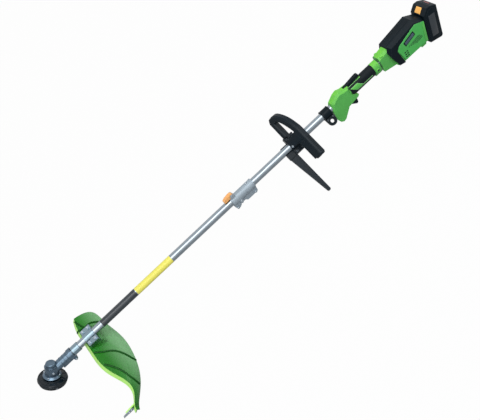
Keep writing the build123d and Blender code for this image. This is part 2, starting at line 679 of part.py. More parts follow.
with BuildPart() as loop_handle:
    with BuildSketch(LOOP_PLANE):
        with BuildLine():
            Polyline((0, 91), (96, 92), (101, 87), (101, 55), (92, 42), (17, 41), (17, -12), (-105, -10),
                     (-117, 2), (-117, 20))
            Spline((-117, 20), (-98, 57), (-66, 78), (-34, 88), (0, 91), tangents=((0, 1), (1, 0)))
        make_face()
        with BuildLine():
            Polyline((-91, 31), (-91, 12), (-22, 12), (-22, 61))
            Spline((-22, 61), (-60, 49), (-91, 31))
        make_face(mode=Mode.SUBTRACT)
    extrude(amount=LOOP_THICK / 2, both=True)
    chamfer(loop_handle.faces().filter_by(LOOP_PLANE).edges(), length=LOOP_EDGE)
    with BuildSketch(HANDLE_SPLIT):
        Circle(HANDLE_CLAMP_R)
        with Locations((0, HANDLE_FLANGE / 2 + CLAMP_GAP)):
            Rectangle(2 * HANDLE_CLAMP_HALF, HANDLE_FLANGE)
        with Locations((0, -HANDLE_CLAMP_R)):
            Rectangle(2 * HANDLE_CLAMP_HALF, 2 * (HANDLE_CLAMP_R + CLAMP_GAP), mode=Mode.SUBTRACT)
    extrude(amount=HANDLE_CLAMP_LENGTH)
    tube_run = (HANDLE_CLAMP[0] - HEAD_ROOM, HANDLE_CLAMP[1] + HEAD_ROOM)
    add(x_ring(tube_run, TUBE_R + TUBE_FIT), mode=Mode.SUBTRACT)
    cut_handle_bolts(HANDLE_FLANGE + CLAMP_GAP, HANDLE_FLANGE + 1, M6_R + BOLT_CLEARANCE)
    cut_handle_bolts(HANDLE_FLANGE + CLAMP_GAP + HEAD_ROOM, HEAD_ROOM, M6_HEAD_R + 0.6)
save(loop_handle.part, "loop_handle")

BARRIER_DEPTH = 19.0
BARRIER_STEP = 3.5
BARRIER_THICK = 13.0
with BuildPart() as barrier_clamp:
    with BuildSketch(Plane(origin=HANDLE_UP * -CLAMP_GAP, x_dir=(1, 0, 0), z_dir=-HANDLE_UP)):
        with BuildLine():
            Polyline((HANDLE_CLAMP[0], -HANDLE_CLAMP_HALF), (HANDLE_CLAMP[1], -HANDLE_CLAMP_HALF),
                     (HANDLE_CLAMP[1], HANDLE_CLAMP_HALF), (BARRIER_START, HANDLE_CLAMP_HALF),
                     (BARRIER_START, -17), (HANDLE_CLAMP[0], -17), close=True)
        make_face()
    extrude(amount=BARRIER_DEPTH)
    with BuildSketch(Plane(origin=HANDLE_UP * -BARRIER_STEP, x_dir=(1, 0, 0), z_dir=-HANDLE_UP)):
        with BuildLine():
            Polyline((BARRIER_START, 24), (487, 24), (487.5, BARRIER_END - 4), (484, BARRIER_END),
                     (478, BARRIER_END), (475, BARRIER_END - 4), close=True)
        make_face()
    extrude(amount=BARRIER_THICK)
    add(x_ring((BARRIER_START - 5, HANDLE_CLAMP[1] + 5), TUBE_R + TUBE_FIT), mode=Mode.SUBTRACT)
    cut_handle_bolts(0, BARRIER_DEPTH + 1, M6_R + BOLT_CLEARANCE)
save(barrier_clamp.part, "barrier_clamp")
HANDLE_BOLT_GRIP = HANDLE_FLANGE + 2 * CLAMP_GAP + BARRIER_DEPTH
handle_bolts = [socket_bolt(handle_bolt_plane(along, left, HANDLE_FLANGE + CLAMP_GAP), HANDLE_BOLT_GRIP, M6_R,
                            M6_HEAD_R, M6_HEAD) for along, left in HANDLE_BOLT_SPOTS]
save_group(handle_bolts, "handle_bolts")

# Strap hanger: split band with a flat eye plate
EYE_UP = rolled(90.0 - HANGER_ROLL)[1]
EYE_PLANE = Plane(origin=(0, 0, 0), x_dir=(1, 0, 0), z_dir=EYE_UP)
HANGER_MID = (HANGER[0] + HANGER[1]) / 2
HANGER_SCREW_REACH = 23.8
HANGER_SCREW_OUT = 12.0
with BuildPart() as strap_hanger:
    add(x_ring(HANGER, HANGER_R))
    chamfer(strap_hanger.edges().filter_by(GeomType.CIRCLE), length=1.5)
    with BuildSketch(EYE_PLANE):
        with BuildLine():
            Polyline((HANGER[0], -8), (HANGER[0], -24), (HANGER_MID - EYE_LAND_R, -EYE_REACH),
                     (HANGER_MID + EYE_LAND_R, -EYE_REACH), (HANGER[1], -24), (HANGER[1], -8), close=True)
        make_face()
        with Locations((HANGER_MID, -EYE_REACH)):
            Circle(EYE_LAND_R)
            Circle(EYE_R, mode=Mode.SUBTRACT)
    extrude(amount=HANGER_PLATE / 2, both=True)
    add(x_ring((HANGER[0] - 5, HANGER[1] + 5), TUBE_R + TUBE_FIT), mode=Mode.SUBTRACT)
    with BuildSketch(EYE_PLANE.offset(HANGER_PLATE)):
        with Locations((HANGER_MID - HANGER_SCREW_OUT, -HANGER_SCREW_REACH),
                       (HANGER_MID + HANGER_SCREW_OUT, -HANGER_SCREW_REACH)):
            Circle(M5_R + BOLT_CLEARANCE)
    extrude(amount=-2 * HANGER_PLATE, mode=Mode.SUBTRACT)
save(strap_hanger.part, "strap_hanger")

lug_face = Plane(origin=(CLAMP_SCREW[0], -LUG_HALF, CLAMP_SCREW[1]), x_dir=(1, 0, 0), z_dir=(0, -1, 0))
m5_screws = [socket_bolt(lug_face, 2 * LUG_HALF, M5_R, M5_HEAD_R, M5_HEAD)]
for out in (-HANGER_SCREW_OUT, HANGER_SCREW_OUT):
    spot = EYE_PLANE.from_local_coords((HANGER_MID + out, -HANGER_SCREW_REACH, HANGER_PLATE / 2))
    eye_face = Plane(origin=spot, x_dir=(1, 0, 0), z_dir=EYE_UP)
    m5_screws.append(socket_bolt(eye_face, HANGER_PLATE, M5_R, M5_HEAD_R, M5_HEAD))
CUTTER_FACE = across(GUARD_ROLL, CUTTER_LEFT + CUTTER_THICK)
for along, height in CUTTER_SCREWS:
    spot = CUTTER_FACE.from_local_coords((along, height, 0))
    blade_face = Plane(origin=spot, x_dir=(1, 0, 0), z_dir=GUARD_SIDE)
    m5_screws.append(socket_bolt(blade_face, CUTTER_THICK, M5_R, M5_HEAD_R, M5_LOW_HEAD, nut=False))
save_group(m5_screws, "m5_screws")


def side_block(points, half):
    """Prism on an outline in the tube's upright plane, as deep to the left as to the right."""
    with BuildPart() as block:
        with BuildSketch(Plane.XZ):
            with BuildLine():
                Polyline(*points, close=True)
            make_face()
        extrude(amount=half, both=True)
    return block.part


def cross_pin(place, radius, half):
    """Round pin square to the tube's upright plane."""
    with BuildPart() as pin:
        with BuildSketch(Plane.XZ):
            with Locations(place):
                Circle(radius)
        extrude(amount=half, both=True)
    return pin.part


def oval_bar(span, half, low=0.0):
    """Oval bar along the tube."""
    with BuildPart() as bar:
        with BuildSketch(Plane.YZ.offset(span[0])):
            with Locations((0, low)):
                Ellipse(*half)
        extrude(amount=span[1] - span[0])
    return bar.part


def save_halves(part, name):
    """Splits a shell along the tube's upright plane and writes both halves."""
    for hand, keep in (("left", Keep.TOP), ("right", Keep.BOTTOM)):
        with BuildPart() as half:
            add(part)
            split(bisect_by=Plane.XZ, keep=keep)
        save(half.part, f"{name}_{hand}")


# Rear handle: two shells that meet in the tube's upright plane, and a rubber sleeve
HAND_GUARD = ((674, -44), (682, -64), (693, -71), (704, -68), (736, -37), (782, -31), (788, -24), (768, -6),
              (768, 30), (744, 33), (728, 40), (712, 36), (686, 21), (678, 6))
TRIGGER_POCKET = ((736.5, -80), (782, -80), (782, -17.5), (736.5, -17.5))
LOCK_POCKET = ((752, 15), (828, 15), (828, 50), (752, 50))
POCKET_GAP = 0.6
CORE_START = 745.0
RING_HALF = (21.0, 27.0)
RING_LOW = -3.0
SWITCH_HALF = 8.0
SWITCH_HEIGHT = (-38.0, -17.0)


def switch_block(gap):
    """Block of the switch, or its pocket."""
    low, high = SWITCH_HEIGHT[0] - gap, SWITCH_HEIGHT[1] + gap
    start, end = SWITCH[0] - gap, SWITCH[1] + gap
    return side_block(((start, low), (end, low), (end, high), (start, high)), SWITCH_HALF + gap)


def lead(radius):
    """Round cord along the lead's route."""
    with BuildPart() as cord:
        with BuildLine() as route:
            FilletPolyline(*LEAD_ROUTE, radius=8.0)
        with BuildSketch(Plane(origin=route.line @ 0, z_dir=route.line % 0)):
            Circle(radius)
        sweep(path=route.line)
    return cord.part


with BuildPart() as handle:
    add(side_block(HAND_GUARD, GUARD_HALF))
    guard_edges = handle.faces().filter_by(Plane.XZ).edges()
    chamfer(guard_edges.filter_by(lambda edge: edge.center().Z > GUARD_SHOULDER), length=GUARD_BEVEL)
    add(oval_bar((CORE_START, RING[1]), CORE_HALF))
    add(oval_bar(RING, RING_HALF, RING_LOW))
    add(x_ring((660, 910), TUBE_R + TUBE_FIT), mode=Mode.SUBTRACT)
    add(side_block(TRIGGER_POCKET, TRIGGER_HALF + POCKET_GAP), mode=Mode.SUBTRACT)
    add(side_block(LOCK_POCKET, LOCK_HALF + POCKET_GAP), mode=Mode.SUBTRACT)
    add(switch_block(0.1), mode=Mode.SUBTRACT)
    add(lead(LEAD_R + LEAD_ROOM), mode=Mode.SUBTRACT)
    for pivot in (TRIGGER_PIVOT, LOCK_PIVOT):
        add(cross_pin(pivot, PIVOT_PIN_R, PIN_HALF), mode=Mode.SUBTRACT)
save_halves(handle.part, "handle")

with BuildPart() as grip_sleeve:
    add(oval_bar(SLEEVE, SLEEVE_HALF))
    add(oval_bar(SLEEVE, (CORE_HALF[0] + TUBE_FIT, CORE_HALF[1] + TUBE_FIT)), mode=Mode.SUBTRACT)
    add(side_block(HAND_GUARD, 2 * GUARD_HALF), mode=Mode.SUBTRACT)
    add(side_block(TRIGGER_POCKET, TRIGGER_HALF + POCKET_GAP), mode=Mode.SUBTRACT)
    add(side_block(LOCK_POCKET, LOCK_HALF + POCKET_GAP), mode=Mode.SUBTRACT)
save(grip_sleeve.part, "grip_sleeve")

TRIGGER_OUTLINE = ((740, -37), (770, -61), (776, -58), (778, -47), (776, -31), (750, -25), (740, -27))
with BuildPart() as trigger:
    add(side_block(TRIGGER_OUTLINE, TRIGGER_HALF))
    fillet(trigger.edges().filter_by(Axis.Y), radius=1.0)
    add(cross_pin(TRIGGER_PIVOT, PIVOT_PIN_R + TUBE_FIT, TRIGGER_HALF), mode=Mode.SUBTRACT)
save(trigger.part, "trigger")

TRIGGER_SPRING_X = 764.0
TRIGGER_SPRING = (-26.6, -18.2)
TRIGGER_SPRING_R = 3.2
TRIGGER_SPRING_PITCH = 2.0
TRIGGER_WIRE_R = 0.45
with BuildPart() as trigger_spring:
    with BuildLine():
        coil = Helix(pitch=TRIGGER_SPRING_PITCH, height=TRIGGER_SPRING[1] - TRIGGER_SPRING[0],
                     radius=TRIGGER_SPRING_R, center=(TRIGGER_SPRING_X, 0, TRIGGER_SPRING[0]))
    with BuildSketch(Plane(origin=coil @ 0, z_dir=coil % 0)):
        Circle(TRIGGER_WIRE_R)
    sweep(is_frenet=True)
save(trigger_spring.part, "trigger_spring")

LOCK_OUTLINE = ((756, 20.5), (756, 31), (816, 39), (823, 37), (823, 26), (800, 24), (772, 20.5))
with BuildPart() as lock_lever:
    add(side_block(LOCK_OUTLINE, LOCK_HALF))
    fillet(lock_lever.edges().filter_by(Axis.Y), radius=1.0)
    add(cross_pin(LOCK_PIVOT, PIVOT_PIN_R + TUBE_FIT, LOCK_HALF), mode=Mode.SUBTRACT)
save(lock_lever.part, "lock_lever")

save_group([cross_pin(LEVER_PIVOT, PIVOT_PIN_R, LUG_OUTSIDE), cross_pin(TRIGGER_PIVOT, PIVOT_PIN_R, PIN_HALF),
            cross_pin(LOCK_PIVOT, PIVOT_PIN_R, PIN_HALF)], "pivot_pins")
save(switch_block(0.0), "switch_module")
save(lead(LEAD_R), "switch_lead")

# Power head: a hollow core in two halves, a dark cover over its front and top, and a panel on each side
BODY_OUTLINE = ((958, -42), (958, 43), (1072, 60), (1107.8, 38), (1093, -50), (970, -50))
NOSE_OUTLINE = ((909, -30), (909, 31), (960, 41), (960, -42))
BODY_ROOM = ((961, -40), (961, 40), (1071, 56.5), (1105, 36.5), (1091, -47.5), (971.5, -47.5))
NOSE_ROOM = ((914, -26), (914, 27), (962, 37), (962, -38))
FOOT_OUTLINE = ((1062, -49), (1067, -60), (1086, -60), (1091, -49))
FOOT_HALF = 28.0
WEB_TOP = 30.0
# Each web: its span along the tube, its hole, half width and lower edge
WEBS = (
    ((918.0, 926.0), TUBE_R + TUBE_FIT, NOSE_HALF - 1, -32.0),
    ((964.5, 974.5), SMALL_BEARING_R, BODY_HALF - 1, -46.0),
    ((990.0, 994.0), STATOR_R, BODY_HALF - 1, -46.0),
    ((1018.0, 1022.0), STATOR_R, BODY_HALF - 1, -46.0),
    ((1045.5, 1055.5), SMALL_BEARING_R, BODY_HALF - 1, -46.0),
)
PANEL_OUTLINE = ((977, 6), (988, 19.7), (1072, 46.4), (1109.2, 28.9), (1096, -49), (991, -47))
PANEL_WINDOW = ((976, 6), (987.4, 20.2), (1072, 47), (1116, 26), (1116, -70), (990, -70))
COVER_OUTLINE = ((962, -46), (944, 24), (953, 46), (1073, 63), (1111, 40.5), (1095.8, -53), (985, -53))
BODY_BEVEL = 9.0
NOSE_BEVEL = 9.0
COVER_BEVEL = 11.0
PANEL_DEPTH = 4.0
PANEL_EDGE = 1.2
PANEL_SCREWS = ((1022, -41), (1086, -42), (1092, 26), (992, 12))
SCREW_R = 2.0
SCREW_HEAD_R = 3.6
SCREW_HEAD = 2.4
PLATE = (52.0, 19.0)
PLATE_PLACE = (1034.0, 15.0)
PLATE_TURN = 15.0
PLATE_RECESS = 1.0
PLATE_GAP = 0.2
VENT_PLACES = [(x, z) for x in (999.0, 1008.0) for z in (-37.0, -28.0, -19.0)]
VENT = (6.5, 6.0)


def power_head_block(outline, half, bevel):
    """Prism of the power head, with the upper edges of its sides bevelled."""
    with BuildPart() as block:
        add(side_block(outline, half))
        edges = block.faces().filter_by(Plane.XZ).edges()
        chamfer(edges.filter_by(lambda edge: edge.center().Z > WEB_TOP), length=bevel)
    return block.part


with BuildPart() as core:
    add(power_head_block(BODY_OUTLINE, BODY_HALF, BODY_BEVEL))
    add(power_head_block(NOSE_OUTLINE, NOSE_HALF, NOSE_BEVEL))
    add(side_block(FOOT_OUTLINE, FOOT_HALF))
core_solid = core.part

with BuildPart() as housing:
    add(core_solid)
    add(power_head_block(BODY_ROOM, BODY_HALF - SHELL, BODY_BEVEL), mode=Mode.SUBTRACT)
    add(side_block(NOSE_ROOM, NOSE_HALF - NOSE_BEVEL / 2 - SHELL), mode=Mode.SUBTRACT)
    for span, hole, half, low in WEBS:
        add(side_block(((span[0], low), (span[1], low), (span[1], WEB_TOP), (span[0], WEB_TOP)), half))
        add(x_ring(span, hole), mode=Mode.SUBTRACT)
    add(x_ring((RING[1], WEBS[0][0][0]), TUBE_R + TUBE_FIT), mode=Mode.SUBTRACT)
    add(lead(LEAD_R + LEAD_ROOM), mode=Mode.SUBTRACT)
    for place in PANEL_SCREWS:
        with BuildSketch(Plane.XZ.offset(-BODY_HALF)):
            with Locations(place):
                Circle(SCREW_R)
        extrude(amount=2 * SHELL, mode=Mode.SUBTRACT)
save_halves(housing.part, "housing")

with BuildPart() as housing_cover:
    add(power_head_block(COVER_OUTLINE, COVER_HALF, COVER_BEVEL))
    add(power_head_block(BODY_OUTLINE, BODY_HALF + TUBE_FIT, BODY_BEVEL), mode=Mode.SUBTRACT)
    add(side_block(NOSE_OUTLINE, NOSE_HALF + TUBE_FIT), mode=Mode.SUBTRACT)
    add(side_block(FOOT_OUTLINE, FOOT_HALF + TUBE_FIT), mode=Mode.SUBTRACT)
    add(side_block(PANEL_WINDOW, 2 * COVER_HALF), mode=Mode.SUBTRACT)
save(housing_cover.part, "housing_cover")

panel_plates = []
for hand, facing in (("left", -1), ("right", 1)):
    inside = Plane(origin=(0, facing * (BODY_HALF + TUBE_FIT), 0), x_dir=(1, 0, 0), z_dir=(0, -1, 0))
    floor = inside.offset(-facing * (PANEL_DEPTH - PLATE_RECESS))
    with BuildPart() as panel:
        with BuildSketch(inside):
            with BuildLine():
                Polyline(*PANEL_OUTLINE, close=True)
            make_face()
        extrude(amount=-facing * PANEL_DEPTH)
        chamfer(panel.faces().sort_by(Axis.Y)[-1 if facing > 0 else 0].edges(), length=PANEL_EDGE)
        with BuildSketch(inside):
            with Locations(*VENT_PLACES):
                Rectangle(*VENT)
            if facing > 0:
                with Locations(*PANEL_SCREWS):
                    Circle(SCREW_R)
        extrude(amount=-facing * PANEL_DEPTH, mode=Mode.SUBTRACT)
        with BuildSketch(floor):
            with Locations(Location(PLATE_PLACE, PLATE_TURN)):
                Rectangle(*PLATE)
        extrude(amount=-facing * PLATE_RECESS, mode=Mode.SUBTRACT)
    save(panel.part, f"side_panel_{hand}")
    with BuildPart() as plate:
        with BuildSketch(floor):
            with Locations(Location(PLATE_PLACE, PLATE_TURN)):
                Rectangle(PLATE[0] - 2 * PLATE_GAP, PLATE[1] - 2 * PLATE_GAP)
        extrude(amount=-facing * PLATE_RECESS)
    panel_plates.append(plate.part)
save_group(panel_plates, "panel_plates")
screw_seat = BODY_HALF + TUBE_FIT + PANEL_DEPTH
housing_screws = [socket_bolt(Plane(origin=(x, screw_seat, z), x_dir=(1, 0, 0), z_dir=(0, 1, 0)),
                              PANEL_DEPTH + SHELL, SCREW_R, SCREW_HEAD_R, SCREW_HEAD, nut=False)
                  for x, z in PANEL_SCREWS]
save_group(housing_screws, "housing_screws")

# Motor, fan and control board
save(x_ring(STATOR, STATOR_R, ROTOR_R + 0.5), "motor_stator")
with BuildPart() as motor_rotor:
    add(x_ring((UPPER_SHAFT[1], 1057.0), SHAFT_R))
    add(x_ring((STATOR[0] + 1, STATOR[1] - 1), ROTOR_R))
save(motor_rotor.part, "motor_rotor")
FAN_HUB_R = 8.0
with BuildPart() as cooling_fan:
    add(x_ring(FAN, FAN_HUB_R))
    for index in range(FAN_BLADES):
        with BuildSketch(turned(Plane.YZ.offset(FAN[0] + 1), index * 360.0 / FAN_BLADES)):
            with Locations((FAN_R / 2 + 3, 0)):
                Rectangle(FAN_R - 6, 1.8)
        extrude(amount=FAN[1] - FAN[0] - 2)
    add(x_ring(FAN, SHAFT_R + RUNNING), mode=Mode.SUBTRACT)
save(cooling_fan.part, "cooling_fan")

BOARD = (1062.0, 1064.0)
with BuildPart() as control_board:
    with BuildSketch(Plane.YZ.offset(BOARD[0])):
        with Locations((0, -5)):
            Rectangle(2 * (BODY_HALF - SHELL) - 0.4, 70)
    extrude(amount=BOARD[1] - BOARD[0])
    with BuildSketch(Plane.YZ.offset(BOARD[1])):
        with Locations((-16, 12), (0, 12), (16, 12)):
            Circle(6)
        with Locations((0, -18)):
            Rectangle(34, 22)
    extrude(amount=14)
save(control_board.part, "control_board")

# Battery dock: a plate with a T rail, which the battery slides up and off. Both lean with the power head
DOCK = (1101.1, 1104.4)
RAIL_NECK = (1108.0, 14.0)
RAIL_HEAD = (1111.0, 18.0)
RAIL_HEIGHT = (-40.0, 25.0)
LEAN_AXIS = Axis((1106, 0, -5), (0, 1, 0))


def leaned(part):
    """The same piece, leaned back about the middle of the battery's front face."""
    return part.rotate(LEAN_AXIS, BATTERY_LEAN)


def rail(start, gap, height):
    """T rail, or the slot for it."""
    with BuildPart() as tee:
        with BuildSketch(Plane.XY.offset(height[0])):
            with BuildLine():
                Polyline((start, -RAIL_NECK[1] - gap), (RAIL_NECK[0] - gap, -RAIL_NECK[1] - gap),
                         (RAIL_NECK[0] - gap, -RAIL_HEAD[1] - gap), (RAIL_HEAD[0] + gap, -RAIL_HEAD[1] - gap),
                         (RAIL_HEAD[0] + gap, RAIL_HEAD[1] + gap), (RAIL_NECK[0] - gap, RAIL_HEAD[1] + gap),
                         (RAIL_NECK[0] - gap, RAIL_NECK[1] + gap), (start, RAIL_NECK[1] + gap), close=True)
            make_face()
        extrude(amount=height[1] - height[0])
    return tee.part


with BuildPart() as battery_dock:
    with BuildSketch(Plane.YZ.offset(DOCK[0])):
        with Locations((0, -10)):
            Rectangle(50, 72)
    extrude(amount=DOCK[1] - DOCK[0])
    add(rail(DOCK[1], 0.0, RAIL_HEIGHT))
save(leaned(battery_dock.part), "battery_dock")

BATTERY_OUTLINE = ((1106, 45), (1124, 66.5), (1140, 67), (1165, 57), (1165, -65), (1159, -71), (1112, -66.5),
                   (1106, -60))
BATTERY_ROOM = ((1115, 30.2), (1162.5, 30.2), (1162.5, -62.8), (1115, -62.8))
CELL_COLUMNS = (1124.6, 1143.0)
CELL_ROWS = (-53.0, -34.6, -16.2, 2.2, 20.6)
BUTTON_FACE = Plane(origin=(1115, 0, 55.75), x_dir=(0, 1, 0), z_dir=(-21.5, 0, 18))
BUTTON_DEEP = 6.0
BUTTON_PROUD = 2.4
BUTTON_TRAVEL = 3.0
BUTTON_GAP = 0.35
BUTTON_EDGE = 1.2
with BuildPart() as battery_case:
    add(side_block(BATTERY_OUTLINE, BATTERY_HALF))
    fillet(battery_case.faces().filter_by(Plane.XZ).edges(), radius=3)
    add(side_block(BATTERY_ROOM, BATTERY_HALF - BATTERY_WALL), mode=Mode.SUBTRACT)
    add(rail(DOCK[1], 0.4, (-90.0, RAIL_HEIGHT[1] + 0.5)), mode=Mode.SUBTRACT)
    with BuildSketch(BUTTON_FACE):
        Rectangle(BUTTON[0] + 2 * BUTTON_GAP, BUTTON[1] + 2 * BUTTON_GAP)
    extrude(amount=-BUTTON_DEEP - BUTTON_TRAVEL - 0.8, mode=Mode.SUBTRACT)
save(leaned(battery_case.part), "battery_case")
cells = [leaned(cross_pin((x, z), CELL_R, CELL_LENGTH / 2)) for x in CELL_COLUMNS for z in CELL_ROWS]
save_group(cells, "battery_cells")
with BuildPart() as release_button:
    with BuildSketch(BUTTON_FACE.offset(-BUTTON_DEEP)):
        Rectangle(BUTTON[0], BUTTON[1])
    extrude(amount=BUTTON_DEEP + BUTTON_PROUD)
    outer_face = release_button.faces().sort_by(Axis(BUTTON_FACE.origin, BUTTON_FACE.z_dir))[-1]
    chamfer(outer_face.edges(), length=BUTTON_EDGE)
save(leaned(release_button.part), "release_button")
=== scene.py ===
"""Looks of a cordless split-shaft string trimmer, dressed over its construction frame.

The scene is in metres and in the frame's own axes: the shaft tube lies along X, the cutting head is towards
-X, the battery towards +X, +Z is up as the tool is held, and -Y is to the user's left. Sizes and places of
pieces are written in millimetres, and those of finishes and of the studio in metres.
"""
from __future__ import annotations

import json
import logging
import math
from collections.abc import Sequence
from dataclasses import dataclass
from enum import Enum
from typing import ClassVar

import bpy
from mathutils import Matrix, Vector
from mathutils.bvhtree import BVHTree
from mathutils.geometry import interpolate_bezier

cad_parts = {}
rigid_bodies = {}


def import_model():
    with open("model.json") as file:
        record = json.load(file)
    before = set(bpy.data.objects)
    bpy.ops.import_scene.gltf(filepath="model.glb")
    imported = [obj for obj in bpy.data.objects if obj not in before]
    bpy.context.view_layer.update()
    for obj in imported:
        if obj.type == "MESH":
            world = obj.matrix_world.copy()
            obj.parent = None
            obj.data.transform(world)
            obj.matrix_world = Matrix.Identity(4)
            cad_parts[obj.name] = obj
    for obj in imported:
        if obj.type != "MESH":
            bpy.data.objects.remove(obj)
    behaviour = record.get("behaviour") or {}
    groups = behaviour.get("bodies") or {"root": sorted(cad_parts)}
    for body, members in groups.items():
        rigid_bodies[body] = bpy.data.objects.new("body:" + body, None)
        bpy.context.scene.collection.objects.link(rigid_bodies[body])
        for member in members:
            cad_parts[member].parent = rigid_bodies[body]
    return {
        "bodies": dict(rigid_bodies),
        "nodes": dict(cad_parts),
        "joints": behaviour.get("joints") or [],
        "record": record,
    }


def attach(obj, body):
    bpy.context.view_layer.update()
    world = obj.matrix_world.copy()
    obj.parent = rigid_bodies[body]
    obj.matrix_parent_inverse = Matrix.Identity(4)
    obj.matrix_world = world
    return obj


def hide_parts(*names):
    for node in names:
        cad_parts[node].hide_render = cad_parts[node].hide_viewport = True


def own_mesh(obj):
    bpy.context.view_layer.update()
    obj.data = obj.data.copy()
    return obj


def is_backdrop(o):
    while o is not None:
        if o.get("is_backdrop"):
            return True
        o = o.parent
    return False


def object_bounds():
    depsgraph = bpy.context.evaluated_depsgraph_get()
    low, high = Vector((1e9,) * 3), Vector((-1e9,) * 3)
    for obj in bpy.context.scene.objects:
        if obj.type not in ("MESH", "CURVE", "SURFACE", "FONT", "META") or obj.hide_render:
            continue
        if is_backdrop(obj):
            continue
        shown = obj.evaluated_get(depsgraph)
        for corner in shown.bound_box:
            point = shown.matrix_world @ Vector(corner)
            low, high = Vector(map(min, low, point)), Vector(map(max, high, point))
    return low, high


LOG = logging.getLogger("trimmer")
MM = 0.001

Point2 = tuple[float, float]
Point3 = tuple[float, float, float]
Screen = tuple[int, int, int]
Outline = Sequence[Point2]
Inputs = dict[str | int, object]

AFT = Vector((1.0, 0.0, 0.0))
LEFT = Vector((0.0, -1.0, 0.0))
RIGHT = Vector((0.0, 1.0, 0.0))
UP = Vector((0.0, 0.0, 1.0))


class Body(Enum):
    """Bodies of the frame that new pieces ride on."""

    TOOL = "tool"
    HEAD = "cutting_head"
    SPOOL = "bump_spool"
    LOCK = "lock_lever"
    LEVER = "coupling_lever"
    BATTERY = "battery"
    BUTTON = "release_button"


class Slot(Enum):
    """Material slots of the record, handed over with each new piece but not read."""

    STEEL = "bright_steel"
    CASE = "gear_case_metal"
    CAST = "cast_coupling"
    BLACK = "black_plastic"
    RUBBER = "grip_rubber"
    GREEN = "green_plastic"
    GUARD = "guard_green"
    ORANGE = "orange_plastic"
    FILM = "dark_film"


class Side(Enum):
    """The two flanks of the tool, by the sign of Y."""

    LEFT = -1
    RIGHT = 1


class Socket(Enum):
    """Kinds of socket of the shared effects."""

    COLOUR = "NodeSocketColor"
    VALUE = "NodeSocketFloat"
    VECTOR = "NodeSocketVector"


def linear(red: int, green: int, blue: int) -> tuple[float, float, float, float]:
    """Turns a screen colour into the renderer's linear colour.

    Args:
        red: Red from 0 to 255.
        green: Green from 0 to 255.
        blue: Blue from 0 to 255.

    Returns:
        The linear colour with full alpha.
    """
    def channel(value: int) -> float:
        """Linear value of one channel."""
        share = value / 255.0
        return share / 12.92 if share <= 0.04045 else ((share + 0.055) / 1.055) ** 2.4

    return channel(red), channel(green), channel(blue), 1.0


class Net:
    """The nodes of one shader, each added with its settings and links in one call."""

    def __init__(self, tree: bpy.types.NodeTree) -> None:
        """Takes the node tree to work in."""
        self.tree = tree

    def feed(self, node: bpy.types.Node, inputs: Inputs) -> None:
        """Sets inputs of a node, to a plain value or to another node's output.

        Args:
            node: The node.
            inputs: Value or output socket of each input, by its name or number.
        """
        for key, value in inputs.items():
            if isinstance(value, bpy.types.NodeSocket):
                self.tree.links.new(value, node.inputs[key])
            else:
                node.inputs[key].default_value = value

    def add(self, kind: str, inputs: Inputs | None = None, **settings: object) -> bpy.types.Node:
        """Adds a node.

        Args:
            kind: Its type, without the first word that all types share.
            inputs: Value or output socket of each input that is set.
            settings: Its other settings.

        Returns:
            The node.
        """
        node = self.tree.nodes.new("ShaderNode" + kind)
        for name, setting in settings.items():
            setattr(node, name, setting)
        self.feed(node, inputs or {})
        return node

    def effect(self, effect: type[Effect], inputs: Inputs) -> bpy.types.Node:
        """Places a shared effect with its own values, and returns its node."""
        return self.add("Group", inputs, node_tree=effect.tree())

    def reckon(self, operation: str, *inputs: object) -> bpy.types.NodeSocket:
        """Adds a sum of plain values or output sockets, and returns its result."""
        return self.add("Math", dict(enumerate(inputs)), operation=operation).outputs[0]

    def noise(self, scale: object, detail: float,
              where: bpy.types.NodeSocket | None = None) -> bpy.types.NodeSocket:
        """Adds noise that is fixed to the piece.

        Args:
            scale: Patches per metre.
            detail: Steps of finer detail.
            where: Where the noise is read, or nothing for the piece's own axes.

        Returns:
            The socket of the noise.
        """
        if where is None:
            where = self.add("TexCoord").outputs["Object"]
        return self.add("TexNoise", {"Vector": where, "Scale": scale, "Detail": detail}).outputs["Fac"]

    def blend(self, share: bpy.types.NodeSocket, first: object, second: object) -> bpy.types.NodeSocket:
        """Mixes two colours by the share of the second, and returns the result."""
        return self.add("Mix", {"Factor": share, "A": first, "B": second}, data_type="RGBA").outputs["Result"]


class Effect:
    """Shader node group that several finishes share, built when it is first asked for.

    Attributes:
        inputs: Kind of each input, by its name.
        outputs: Kind of each output, by its name.
    """

    inputs: ClassVar[dict[str, Socket]]
    outputs: ClassVar[dict[str, Socket]]

    @classmethod
    def tree(cls) -> bpy.types.NodeTree:
        """Builds the group, or returns it if it exists.

        Returns:
            The group's node tree.
        """
        name = cls.__name__
        if name in bpy.data.node_groups:
            return bpy.data.node_groups[name]
        tree = bpy.data.node_groups.new(name, "ShaderNodeTree")
        for way, sockets in (("INPUT", cls.inputs), ("OUTPUT", cls.outputs)):
            for label, kind in sockets.items():
                tree.interface.new_socket(name=label, in_out=way, socket_type=kind.value)
        net = Net(tree)
        given = tree.nodes.new("NodeGroupInput").outputs
        net.feed(tree.nodes.new("NodeGroupOutput"), cls.wire(net, given))
        return tree

    @classmethod
    def wire(cls, net: Net, given: bpy.types.NodeOutputs) -> Inputs:
        """Adds the effect's nodes, from the group's inputs to its outputs."""
        raise NotImplementedError


